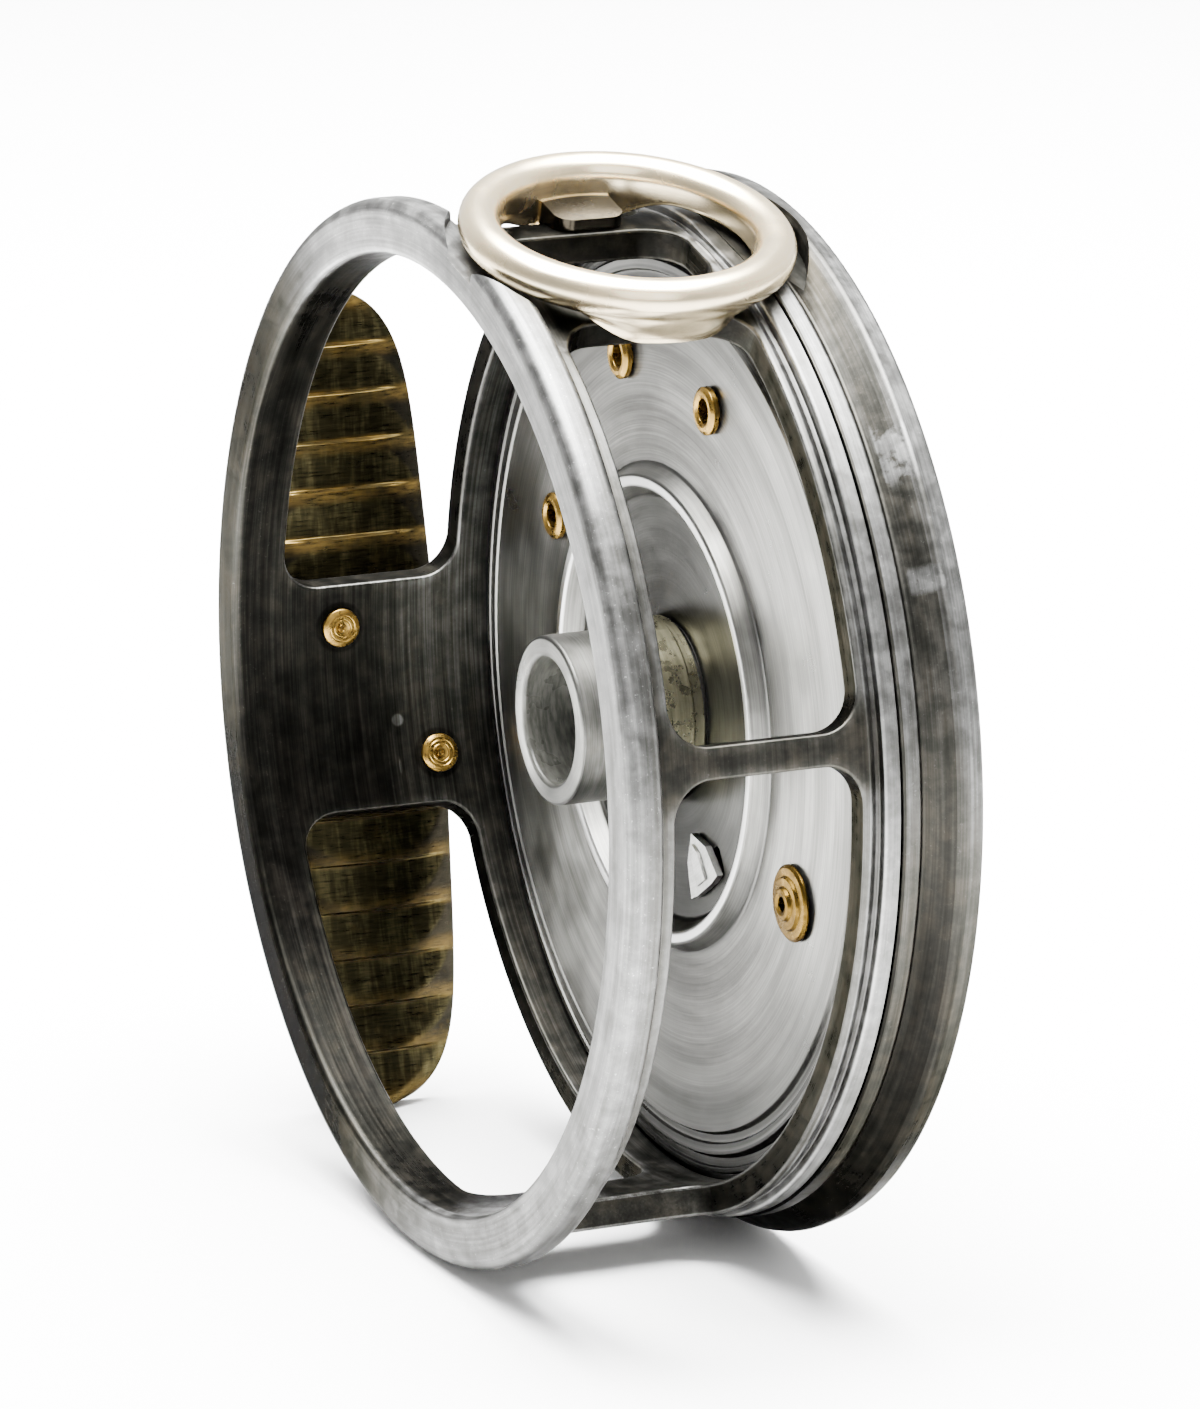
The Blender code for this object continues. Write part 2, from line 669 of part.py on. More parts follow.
def make_bushes():
    for side, (radius, angle) in BUSHES.items():
        frame = spindle_frame(radius, angle)
        bore = SCREW_RADIUS + 0.15
        rim = BUSH_SEAT - 0.35
        flange = [(bore, rim - 0.2), (1.5, rim - 0.3), (BUSH_FLANGE, rim), (BUSH_FLANGE, BUSH_SEAT)]
        body = [(BUSH_BODY, BUSH_SEAT), (BUSH_BODY, BUSH_BACK), (bore, BUSH_BACK)]
        turned(f"plate_bush_{side}", flange + body, frame, 16, "bright_brass")
        front = PLATE_BACK + GAP
        back = COVER_INSIDE - GAP
        post = [(POST_BORE, front), (POST_RADIUS, front), (POST_RADIUS, back), (POST_BORE, back)]
        turned(f"housing_post_{side}", post, frame, SMALL, "bright_brass")
        screw = turned(f"cover_screw_{side}", screw_profile(), frame, SMALL, "blued_steel", closed=False)
        slot = bmesh.new()
        long = SCREW_HEAD + 1
        half = SCREW_SLOT_HALF
        outline = [(-long, -half), (long, -half), (long, half), (-long, half)]
        add_prism(slot, outline, frame @ Matrix.Rotation(radians(angle), 4, "Z"), 28.45, REEL_DEPTH + 1)
        subtract(screw, slot)


# ---------------------------------------------------------------- regulator


def cam_radius(turn):
    """The cam is a spiral that rises evenly over the regulator's travel and drops back beyond it."""
    if turn <= REGULATOR_TURN:
        return CAM_LOW + CAM_RISE * turn / REGULATOR_TURN
    return CAM_LOW + CAM_RISE * (360 - turn) / (360 - REGULATOR_TURN)


def make_regulator():
    frame = spindle_frame(*REGULATOR_PLACE)
    axis_point = place(*REGULATOR_PLACE, REEL_DEPTH)
    raised = [(0.6, 20.7), (1.2, 20.6), (1.45, 20.9), (2.1, 21.0)]
    flange = [(2.3, 21.25), (2.9, 21.35), (3.1, BUSH_SEAT)]
    socket = SHAFT_RADIUS + RUNNING_GAP
    floor = SHAFT_FRONT - GAP
    body = [(SOCKET_RADIUS, BUSH_SEAT), (SOCKET_RADIUS, BUSH_BACK)]
    bore = [(socket, BUSH_BACK), (socket, floor), (0.6, floor)]
    turned("regulator_bush", raised + flange + body + bore, frame, 20, "bright_brass")

    pin = [(0, SHAFT_FRONT), (SHAFT_RADIUS, SHAFT_FRONT), (SHAFT_RADIUS, SHAFT_BACK), (0, SHAFT_BACK)]
    shaft = turned("regulator_shaft", pin, frame, SMALL, "spring_steel", closed=False)

    button_bm = bmesh.new()
    hole = SHAFT_RADIUS + RUNNING_GAP
    front = [(hole, BUTTON_FRONT), (BUTTON_RADIUS, BUTTON_FRONT)]
    back = [(BUTTON_RADIUS, BUTTON_BACK, 0.25), (hole, BUTTON_BACK)]
    add_turned(button_bm, filleted(front + back), frame, MIDDLE)
    button = new_object("regulator_button", button_bm, "bright_brass")
    slot = bmesh.new()
    for side in (-1, 1):
        outline = [(side * 1.9, -0.5), (side * 5.0, -0.5), (side * 5.0, 0.5), (side * 1.9, 0.5)]
        add_prism(slot, outline, frame, BUTTON_BACK - 0.3, REEL_DEPTH + 1)
    subtract(button, slot)

    outline = []
    count = 32
    for step in range(count):
        turn = 360.0 * step / count
        angle = radians(REGULATOR_PLACE[1] - turn)
        outline.append((cam_radius(turn) * cos(angle), -cam_radius(turn) * sin(angle)))
    cam_bm = bmesh.new()
    add_prism(cam_bm, outline, frame, ACTION_FRONT, ACTION_BACK)
    cam = new_object("regulator_cam", cam_bm, "bright_brass")
    bore = bmesh.new()
    add_pin(bore, frame, hole, ACTION_FRONT - 1, ACTION_BACK + 1)
    subtract(cam, bore)
    for obj in (shaft, button, cam):
        set_origin(obj, axis_point)


# ---------------------------------------------------------------- click check


def flat_point(radius, angle):
    """Point across the spindle as (x, z), in millimetres."""
    return Vector((radius * cos(radians(angle)), radius * sin(radians(angle))))


def pawl_axes():
    """Directions of the pawl: outwards through its pivot, and along its tail."""
    out = flat_point(1.0, PAWL_ANGLE)
    return out, Vector((out.y, -out.x))


def pawl_places():
    """The pawl's pivot, the pin on its tail and the spring's pivot, as (x, z)."""
    out, back = pawl_axes()
    pivot = flat_point(PAWL_PIVOT_RADIUS, PAWL_ANGLE)
    tail = pivot + back * PAWL_TAIL + out * PAWL_TAIL_OUT
    return pivot, tail, pivot + back * (PAWL_TAIL + SPRING_LENGTH)


def across(points):
    """Turns (x, z) points into the plane of a frame along the spindle, whose Y points down."""
    return [(point[0], -point[1]) for point in points]


def in_axes(base, first, second, pairs):
    """Points at (along, aside) from a base point."""
    return [base + first * along + second * aside for along, aside in pairs]


def pawl_window():
    """Outline of the opening in the plate through which the pawl's nose reaches the drum."""
    out, back = pawl_axes()
    corners = in_axes(Vector((0, 0)), out, back, [(8.4, -4.3), (8.4, 4.3), (15.9, 4.3), (15.9, -4.3)])
    return filleted([(*point, 1.5) for point in across(corners)], steps=3)


def pin_frame(point):
    """Frame along the spindle through an (x, z) point."""
    return spindle_frame(point.length, degrees(atan2(point.y, point.x)))


def add_hole(target, point, radius):
    """Cuts a round hole along the spindle's direction through an (x, z) point."""
    hole = bmesh.new()
    add_pin(hole, pin_frame(point), radius, PLATE_CUT[0], COVER_INSIDE - 0.1)
    subtract(target, hole)


def make_pawl():
    out, back = pawl_axes()
    pivot, tail, _ = pawl_places()
    reach = PAWL_REACH
    body = [(-reach + 1.2, -1.6), (-2.6, -2.2), (0.6, -2.6), (2.4, -1.4)]
    tail_side = [(2.6, 1.2), (2.3, PAWL_TAIL + 0.4), (0.6, PAWL_TAIL + 0.4), (0.1, 2.4)]
    neck = [(-2.6, 2.0), (-reach + 1.2, 1.6)]
    bm = bmesh.new()
    outline = across(in_axes(pivot, out, back, body + tail_side + neck))
    add_prism(bm, outline, spindle_frame(), ACTION_FRONT, ACTION_BACK)
    pawl = new_object("check_pawl", bm, "spring_steel")
    nose = bmesh.new()
    sides = [(-reach + 3.0, -1.5), (-reach + 4.6, -1.5), (-reach + 4.6, 1.5), (-reach + 3.0, 1.5)]
    wedge = [(-reach, 0.0)] + sides
    add_prism(nose, across(in_axes(pivot, out, back, wedge)), spindle_frame(), 21.3, 25.2)
    tail_pin = bmesh.new()
    add_pin(tail_pin, pin_frame(tail), TAIL_PIN_RADIUS, 25.2, 26.9)
    for part, label in ((nose, "nose"), (tail_pin, "tail_pin")):
        helper = new_object(f"check_pawl_{label}", part)
        helper.hide_render = True
        helper.display_type = "WIRE"
        join = pawl.modifiers.new(label, "BOOLEAN")
        join.operation = "UNION"
        join.solver = "EXACT"
        join.object = helper
    add_hole(pawl, pivot, PAWL_HOLE)
    set_origin(pawl, place(pivot.length, PAWL_ANGLE, ACTION_FRONT))
    front = PLATE_BACK + GAP
    shoulder = ACTION_BACK + 0.2
    back = COVER_INSIDE - GAP
    pin = [(0, front), (STUD_RADIUS, front), (STUD_RADIUS, shoulder)]
    stud = pin + [(STUD_SHOULDER, shoulder), (STUD_SHOULDER, back), (0, back)]
    turned("pawl_stud", stud, pin_frame(pivot), SMALL, "spring_steel", closed=False)


def make_check_spring():
    out, back = pawl_axes()
    _, tail, anchor = pawl_places()
    slope = (anchor - tail).normalized()
    side = Vector((slope.y, -slope.x))
    length = (anchor - tail).length
    eye = in_axes(tail, slope, side, [(length + 1.9, -1.3), (length + 1.9, 1.3), (length - 2.0, 1.3)])
    leaf_one = in_axes(tail, slope, side, [(length - 2.6, 0.35), (2.6, 0.35), (2.2, 1.7), (-0.9, 1.7)])
    fork = in_axes(tail, slope, side, [(-0.9, 0.85), (1.3, 0.85), (1.3, -0.85), (-0.9, -0.85), (-0.9, -1.7)])
    leaf_end = [(length - 2.6, -0.35), (length - 2.0, -1.3)]
    leaf_two = in_axes(tail, slope, side, [(2.2, -1.7), (2.6, -0.35)] + leaf_end)
    bm = bmesh.new()
    outline = across(eye + leaf_one + fork + leaf_two)
    add_prism(bm, outline, spindle_frame(), SPRING_FRONT, SPRING_BACK)
    spring = new_object("check_spring", bm, "blued_steel")
    add_hole(spring, anchor, SPRING_HOLE)
    set_origin(spring, place(anchor.length, degrees(atan2(anchor.y, anchor.x)), ACTION_FRONT))
    front = PLATE_BACK + 0.2
    back = COVER_INSIDE - 0.2
    post = [(0, front), (SPRING_POST_RADIUS, front), (SPRING_POST_RADIUS, back), (0, back)]
    turned("spring_post", post, pin_frame(anchor), SMALL, "spring_steel", closed=False)


def make_tension_arm():
    """The arm runs round the rim from the spring's post to the cam. It shares the spring's pivot."""
    _, _, anchor = pawl_places()
    start = degrees(atan2(anchor.y, anchor.x))
    end = REGULATOR_PLACE[1]
    nose_tip = REGULATOR_PLACE[0] + CAM_LOW + CAM_CLEARANCE
    outer = arc((0, 0), ARM_OUTER, start - 1.5, end + 4.0, 16)
    nose_turns = (4.0, 1.6, 0.0, -1.6, -4.0)
    nose_radii = (ARM_INNER, nose_tip + 0.8, nose_tip, nose_tip + 0.8, ARM_INNER)
    nose = [flat_point(radius, end + turn) for radius, turn in zip(nose_radii, nose_turns)]
    inner = arc((0, 0), ARM_INNER, end - 8.0, start + 5.0, 14)
    eye = [flat_point(ARM_EYE_RADIUS, start + 2.6), flat_point(ARM_EYE_RADIUS, start - 2.4)]
    outline = across([Vector(point) for point in outer] + nose + [Vector(point) for point in inner] + eye)
    bm = bmesh.new()
    add_prism(bm, outline, spindle_frame(), ACTION_FRONT, ACTION_BACK)
    arm = new_object("tension_arm", bm, "spring_steel")
    add_hole(arm, anchor, SPRING_HOLE)
    set_origin(arm, place(anchor.length, start, ACTION_FRONT))


def print_joint_facts():
    """Prints the joint axes and how fast the spring follows the pawl."""
    pivot, tail, anchor = pawl_places()
    regulator = flat_point(*REGULATOR_PLACE)
    for label, point in (("pawl", pivot), ("spring and arm", anchor), ("regulator", regulator)):
        print(f"{label}: x {point.x:.4f} z {point.y:.4f} mm")
    pawl_lever = tail - pivot
    spring_lever = tail - anchor
    ratio = pawl_lever.dot(spring_lever) / spring_lever.length_squared
    print(f"the spring turns {ratio:.4f} for each turn of the pawl")


clear_scene()
make_cage()
make_cover()
make_plate()
make_hub()
make_line_guide()
make_foot()
make_bushes()
make_regulator()
make_pawl()
make_check_spring()
make_tension_arm()
print_joint_facts()
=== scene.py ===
"""Looks of the frame of a vintage fly-fishing reel, drum removed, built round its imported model.

Lengths are in millimetres and angles in degrees until a mesh is made. Depths run backwards along the spindle
from just inside the front ring, and angles run from +X towards +Z round it.
"""

from functools import partialmethod
from math import atan2, cos, degrees, hypot, pi, radians, sin, sqrt

import bmesh
import bpy
from mathutils import Matrix, Vector


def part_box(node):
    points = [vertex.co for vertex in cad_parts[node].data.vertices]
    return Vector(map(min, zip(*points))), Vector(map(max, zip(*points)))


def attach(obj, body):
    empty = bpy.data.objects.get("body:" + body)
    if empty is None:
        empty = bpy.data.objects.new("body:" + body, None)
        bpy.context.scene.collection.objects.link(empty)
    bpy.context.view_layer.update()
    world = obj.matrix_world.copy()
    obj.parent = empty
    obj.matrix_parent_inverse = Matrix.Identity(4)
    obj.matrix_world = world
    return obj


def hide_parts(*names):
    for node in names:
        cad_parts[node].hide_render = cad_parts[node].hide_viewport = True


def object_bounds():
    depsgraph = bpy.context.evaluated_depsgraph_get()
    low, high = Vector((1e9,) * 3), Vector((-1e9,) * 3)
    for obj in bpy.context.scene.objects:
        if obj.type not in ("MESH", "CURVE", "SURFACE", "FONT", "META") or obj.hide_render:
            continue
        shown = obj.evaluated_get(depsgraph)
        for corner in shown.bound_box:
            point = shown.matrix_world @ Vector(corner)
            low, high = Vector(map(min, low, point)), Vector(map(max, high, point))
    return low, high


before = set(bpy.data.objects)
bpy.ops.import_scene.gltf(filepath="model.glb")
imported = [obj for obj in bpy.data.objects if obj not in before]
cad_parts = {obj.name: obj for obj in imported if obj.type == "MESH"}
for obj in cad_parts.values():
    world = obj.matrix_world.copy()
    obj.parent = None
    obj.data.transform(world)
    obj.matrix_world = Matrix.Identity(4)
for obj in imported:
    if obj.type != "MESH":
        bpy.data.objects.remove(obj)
cad_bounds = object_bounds()

MM = 0.001


def box(node):
    low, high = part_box(node)
    return low / MM, high / MM


# ---------------- sizes

RING_FRONT = -0.6
REEL_DEPTH = RING_FRONT - box("cage")[0].y
RING_RADIUS = box("cage")[1].x
COVER_RADIUS = box("back_cover")[1].x
PLATE_RADIUS = box("bearing_plate")[1].x
TUBE_RADIUS = box("hub_tube")[1].x
TUBE_FRONT = box("hub_tube")[0].y + REEL_DEPTH
COLLAR_RADIUS = box("hub_collar")[1].x
COLLAR_FRONT = box("hub_collar")[0].y + REEL_DEPTH
GROUND = cad_bounds[0][2]

BORE_RADIUS = 38.6
WALL_RADIUS = 41.1
WALL_MIDDLE = (BORE_RADIUS + WALL_RADIUS) / 2
CAGE_END = 22.75
CAGE_COLUMNS = 288
WINDOW_DEPTHS = (4.02, 19.8)
WINDOW_FILLET = 3.2
WINDOW_BEVEL = 0.24
WINDOWS = ((-155.6, -86.0), (-74.0, 7.6), (11.2, 62.6), (68.0, 82.2), (87.6, 175.6))
SEAM_ANGLE = -80.0

GUIDE_ANGLE = 75.1
GUIDE_DEPTH = 13.5
GUIDE_HEIGHT = 43.0
GUIDE_RADIUS = 11.65
GUIDE_WIRE = 1.65
GUIDE_SEAT_RADIUS = 14.3
GUIDE_SEAT_HEIGHT = 41.0
GUIDE_TAB_FOOT = 39.3
GUIDE_TAB_LEAD = -0.7
GUIDE_FLANGE = (5.6, 41.8)

FOOT_ANGLE = 190.5
FOOT_DEPTH = 12.4
FOOT_SHIFT = -0.4
FOOT_HALF_LENGTH = 35.3
FOOT_HALF_WIDTH = 8.2
FOOT_UNDERSIDE = 41.9
FOOT_TOP = 44.6
FOOT_SEAT_HALF = 9.6
RIB_START = 9.8
RIB_PITCH = 4.1
RIB_COUNT = 6
RIB_DEPTH = 0.75
RIB_MARGIN = 0.95

PAWL_ANGLE = -57.0

THROUGH_WALL = (36.0, 48.0)
THROUGH_PLATE = (20.0, 26.0)
SCREW_ROOM = 0.12

SIDES = ("left", "top", "right")
RIVETS = ("foot_rivet_upper", "foot_rivet_lower")
GUIDE_SCREWS = ("line_guide_screw_near", "line_guide_screw_far")

CAMERA_AZIMUTH = 65.98
CAMERA_ELEVATION = 14.43
CAMERA_LENS = 193.16
CAMERA_DISTANCE = 14.18 * RING_RADIUS
CAMERA_TARGET_DEPTH = 0.35 * RING_RADIUS
CAMERA_OFFSET = 0.022 * RING_RADIUS

PATINA_BLACK = 0.0055
PATINA_RANGE = 50.0
COLLAR_BRASS = (0.34, 0.32, 0.21)


# ---------------- places and frames


def place(radius, angle, depth):
    turn = radians(angle)
    return Vector((radius * cos(turn), depth - REEL_DEPTH, radius * sin(turn)))


def spindle_frame(radius=0.0, angle=0.0):
    """Frame whose Z runs backwards along a line parallel to the spindle, with Z = 0 at the front ring."""
    return Matrix.Translation(place(radius, angle, 0.0)) @ Matrix.Rotation(radians(-90), 4, "X")


def radial_frame(angle, depth):
    """Frame on the spindle's axis: Z points outwards at this angle, Y backwards, X round the reel."""
    return Matrix.Translation(place(0.0, 0.0, depth)) @ Matrix.Rotation(radians(90 - angle), 4, "Y")


def axis_spot(node):
    """Radius and angle of a node whose own axis is parallel to the spindle."""
    low, high = box(node)
    middle = (low + high) / 2
    return hypot(middle.x, middle.z), degrees(atan2(middle.z, middle.x))


def radial_spot(node):
    """Angle and depth of a node whose own axis points outwards from the spindle."""
    low, high = box(node)
    middle = (low + high) / 2
    return degrees(atan2(middle.z, middle.x)), middle.y + REEL_DEPTH


# ---------------- outlines


def filleted(corners, step=9.0):
    """Closed outline through (x, y) or (x, y, radius) corners. Arcs turn by about a step at a time."""
    points = []
    for index, corner in enumerate(corners):
        here = Vector(corner[:2])
        radius = corner[2] if len(corner) > 2 else 0.0
        if radius <= 0.0:
            points.append(tuple(here))
            continue
        before = Vector(corners[index - 1][:2])
        after = Vector(corners[(index + 1) % len(corners)][:2])
        back = (before - here).normalized()
        ahead = (after - here).normalized()
        half = back.angle(ahead) / 2
        reach = radius * cos(half) / sin(half)
        centre = here + (back + ahead).normalized() * (radius / sin(half))
        start = here + back * reach
        end = here + ahead * reach
        first = atan2(start.y - centre.y, start.x - centre.x)
        sweep = atan2(end.y - centre.y, end.x - centre.x) - first
        sweep = (sweep + pi) % (2 * pi) - pi
        count = max(2, round(abs(degrees(sweep)) / step))
        for part in range(count + 1):
            turn = first + sweep * part / count
            points.append((centre.x + radius * cos(turn), centre.y + radius * sin(turn)))
    return points


def arc(centre, radius, start, end, steps):
    turns = [radians(start + (end - start) * step / steps) for step in range(steps + 1)]
    return [(centre[0] + radius * cos(turn), centre[1] + radius * sin(turn)) for turn in turns]


def smooth(value, low, high):
    """0 below low, 1 above high and an even curve between."""
    share = min(1.0, max(0.0, (value - low) / (high - low)))
    return share * share * (3 - 2 * share)


# ---------------- meshes


def join_rings(bm, rings):
    """Adds the faces between neighbouring rings of vertices. On the axis a ring is one vertex repeated."""
    for here, after in zip(rings, rings[1:]):
        for index in range(len(here)):
            following = (index + 1) % len(here)
            corners = (here[index], here[following], after[following], after[index])
            corners = tuple(dict.fromkeys(corners))
            if len(corners) > 2:
                bm.faces.new(corners)


def lathe(profile, place_frame, segments, closed=True):
    """Turns a profile of (radius, height) round the frame's Z. An open one starts and ends on the axis."""
    bm = bmesh.new()
    rings = []
    for radius, height in profile:
        if radius < 1e-6:
            rings.append([bm.verts.new(place_frame @ Vector((0, 0, height)) * MM)] * segments)
            continue
        ring = []
        for step in range(segments):
            turn = 2 * pi * step / segments
            point = place_frame @ Vector((radius * cos(turn), radius * sin(turn), height))
            ring.append(bm.verts.new(point * MM))
        rings.append(ring)
    join_rings(bm, rings + rings[:1] if closed else rings)
    return bm


def prism(outline, place_frame, low, high):
    """Extrudes a closed outline along the frame's Z, between two heights."""
    bm = bmesh.new()
    rings = []
    for height in (low, high):
        rings.append([bm.verts.new(place_frame @ Vector((x, y, height)) * MM) for x, y in outline])
        bm.faces.new(rings[-1])
    join_rings(bm, rings)
    return bm


def pin(place_frame, radius, low, high, segments=64):
    return lathe([(0, low), (radius, low), (radius, high), (0, high)], place_frame, segments, closed=False)


def rectangle(left, right, half):
    """Outline from left to right along X, and as far as half to either side of it."""
    return [(left, -half), (right, -half), (right, half), (left, half)]


def link(obj):
    bpy.context.scene.collection.objects.link(obj)
    return obj


def object_from(name, bm):
    bmesh.ops.recalc_face_normals(bm, faces=bm.faces)
    mesh = bpy.data.meshes.new(name)
    bm.to_mesh(mesh)
    bm.free()
    return link(bpy.data.objects.new(name, mesh))


def apply_modifiers(obj):
    graph = bpy.context.evaluated_depsgraph_get()
    mesh = bpy.data.meshes.new_from_object(obj.evaluated_get(graph))
    old = obj.data
    obj.modifiers.clear()
    obj.data = mesh
    bpy.data.meshes.remove(old)


def combine(obj, operation, *shapes):
    """Cuts or joins closed bmeshes with an object, and keeps the result as its mesh."""
    tools = []
    for shape in shapes:
        tool = object_from(f"{obj.name}_tool", shape)
        change = obj.modifiers.new("combine", "BOOLEAN")
        change.operation = operation
        change.solver = "EXACT"
        change.object = tool
        tools.append(tool)
    apply_modifiers(obj)
    for tool in tools:
        mesh = tool.data
        bpy.data.objects.remove(tool)
        bpy.data.meshes.remove(mesh)


def cut(obj, *shapes):
    combine(obj, "DIFFERENCE", *shapes)


def ease_edges(obj, width, segments=2):
    """Rounds an object's sharp edges a little, as wear and polishing do."""
    bevel = obj.modifiers.new("ease", "BEVEL")
    bevel.width = width * MM
    bevel.segments = segments
    bevel.limit_method = "ANGLE"
    bevel.angle_limit = radians(30)
    apply_modifiers(obj)


def finish_piece(obj, material, node, body="frame", sharp=32.0):
    """Shades a piece, gives it its material and puts it in place of a CAD node."""
    mesh = obj.data
    mesh.materials.clear()
    mesh.materials.append(material)
    mesh.polygons.foreach_set("material_index", [0] * len(mesh.polygons))
    mesh.shade_smooth()
    mesh.set_sharp_from_angle(angle=radians(sharp))
    weighted = obj.modifiers.new("weighted", "WEIGHTED_NORMAL")
    weighted.keep_sharp = True
    weighted.weight = 80
    apply_modifiers(obj)
    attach(obj, body)
    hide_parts(node)


def lathe_piece(name, profile, place_frame, segments, closed=True):
    return object_from(name, lathe(profile, place_frame, segments, closed))


# ---------------- material graphs


class Graph:
    """A node material, written with short calls. A value may be a number, a colour or a socket."""

    def __init__(self, name, place_frame):
        self.material = bpy.data.materials.new(name)
        self.material.use_nodes = True
        self.tree = self.material.node_tree
        self.shader = self.tree.nodes["Principled BSDF"]
        self.shader.inputs["Metallic"].default_value = 1.0
        self.locate(place_frame)

    def fill(self, socket, value):
        if isinstance(value, bpy.types.NodeSocket):
            self.tree.links.new(value, socket)
        elif isinstance(value, tuple) and len(socket.default_value) == 4:
            socket.default_value = (*value, 1.0)[:4]
        else:
            socket.default_value = value

    def node(self, kind, inputs=None, **settings):
        made = self.tree.nodes.new("ShaderNode" + kind)
        for key, value in settings.items():
            setattr(made, key, value)
        for key, value in (inputs or {}).items():
            self.fill(made.inputs[key], value)
        return made

    def math(self, operation, *values, clamp=False):
        made = self.node("Math", operation=operation, use_clamp=clamp)
        for socket, value in zip(made.inputs, values):
            self.fill(socket, value)
        return made.outputs[0]

    mul = partialmethod(math, "MULTIPLY")
    div = partialmethod(math, "DIVIDE")
    add = partialmethod(math, "ADD")
    sub = partialmethod(math, "SUBTRACT")
    most = partialmethod(math, "MAXIMUM")

    def vector(self, operation, *values):
        made = self.node("VectorMath", operation=operation)
        for socket, value in zip(made.inputs, values):
            self.fill(socket, value)
        single = operation in ("DOT_PRODUCT", "LENGTH", "DISTANCE")
        return made.outputs[1 if single else 0]

    def join(self, x, y, z):
        return self.node("CombineXYZ", {"X": x, "Y": y, "Z": z}).outputs[0]

    def locate(self, place_frame):
        """Coordinates in a frame: along its axes, and as radius, angle and depth round its Z."""
        where = self.node("TexCoord").outputs["Object"]
        self.point = self.vector("MULTIPLY", where, (1 / MM, 1 / MM, 1 / MM))
        origin = place_frame.translation
        axes = []
        for index in range(3):
            axis = place_frame.col[index].to_3d()
            along = self.vector("DOT_PRODUCT", self.point, tuple(axis))
            axes.append(self.sub(along, origin.dot(axis)))
        self.x, self.y, self.z = axes
        self.radius = self.vector("LENGTH", self.join(self.x, self.y, 0.0))
        down = self.mul(self.y, -1.0)
        self.angle = self.math("DEGREES", self.math("ARCTAN2", down, self.x))

    def ramp(self, value, low, high, start=0.0, end=1.0):
        """Runs smoothly from start to end while the value goes from low to high."""
        inputs = {"Value": value, "From Min": low, "From Max": high, "To Min": start, "To Max": end}
        return self.node("MapRange", inputs, interpolation_type="SMOOTHSTEP").outputs[0]

    def fall(self, value, low, high):
        """1 below low and 0 above high."""
        return self.ramp(value, low, high, 1.0, 0.0)

    def band(self, value, low, high, soft):
        """1 between two values and 0 outside them, with soft ends."""
        rise = self.ramp(value, low - soft, low)
        fall = self.fall(value, high, high + soft)
        return self.mul(rise, fall)

    def turn_from(self, middle):
        """Turn from an angle round the axis, from -180 to 180 degrees."""
        return self.math("WRAP", self.sub(self.angle, middle), 180.0, -180.0)

    def near_angle(self, middle, half, soft):
        """1 near an angle round the axis, whichever way round it is."""
        return self.fall(self.math("ABSOLUTE", self.turn_from(middle)), half, half + soft)

    def noise(self, scale, detail=2.0, rough=0.5, vector=None, w=None):
        vector = self.point if vector is None else vector
        inputs = {"Vector": vector, "Scale": scale, "Detail": detail, "Roughness": rough}
        if w is None:
            return self.node("TexNoise", inputs).outputs[0]
        inputs["W"] = w
        return self.node("TexNoise", inputs, noise_dimensions="4D").outputs[0]

    def lines(self, pitch, round_scale=1.0, detail=3.0, rough=0.6):
        """Fine turning lines that run round the axis, a pitch apart on faces and on walls alike."""
        reach = self.most(self.radius, 0.01)
        aside = self.mul(self.div(self.x, reach), round_scale)
        up = self.mul(self.div(self.y, reach), round_scale)
        along = self.div(self.z, pitch)
        outwards = self.div(self.radius, pitch)
        return self.noise(1.0, detail, rough, self.join(aside, up, along), outwards)

    def blend(self, share, first, second, how="MIX"):
        """Colour between two colours."""
        made = self.node("Mix", data_type="RGBA", blend_type=how)
        for index, value in ((0, share), (6, first), (7, second)):
            self.fill(made.inputs[index], value)
        return made.outputs[2]

    def tint(self, colour, value):
        """A colour made darker or lighter by a value."""
        return self.blend(1.0, colour, self.join(value, value, value), "MULTIPLY")

    def bump(self, height, depth):
        """Raises the surface by a height from 0 to 1 times a depth."""
        return self.node("Bump", {"Height": height, "Distance": depth * MM, "Strength": 1.0}).outputs[0]

    def surface(self, colour, roughness, normal, anisotropy=0.0, edge=1.0):
        """Fills in the shader. The edge value dims what the surface mirrors at a glancing angle."""
        self.shader.inputs["Specular Tint"].default_value = (edge, edge, edge, 1.0)
        for key, value in (("Base Color", colour), ("Roughness", roughness), ("Normal", normal)):
            self.fill(self.shader.inputs[key], value)
        if anisotropy:
            self.shader.inputs["Anisotropic"].default_value = anisotropy
            tangent = self.node("Tangent", direction_type="RADIAL", axis="Y").outputs[0]
            self.fill(self.shader.inputs["Tangent"], tangent)
        return self.material


def window_distance(graph):
    """Distance from the nearest window's edge, in the unrolled wall."""
    along = graph.mul(graph.angle, radians(WALL_MIDDLE))
    flat = graph.join(along, graph.z, 0.0)
    nearest = None
    front, back = WINDOW_DEPTHS
    for first, last in WINDOWS:
        middle = ((first + last) / 2 * radians(WALL_MIDDLE), (front + back) / 2, 0.0)
        half_length = radians(last - first) / 2 * WALL_MIDDLE - WINDOW_FILLET
        half = (half_length, (back - front) / 2 - WINDOW_FILLET, 0.0)
        apart = graph.vector("ABSOLUTE", graph.vector("SUBTRACT", flat, middle))
        past = graph.vector("MAXIMUM", graph.vector("SUBTRACT", apart, half), (0.0, 0.0, 0.0))
        distance = graph.sub(graph.vector("LENGTH", past), WINDOW_FILLET)
        nearest = distance if nearest is None else graph.math("MINIMUM", nearest, distance)
    return nearest


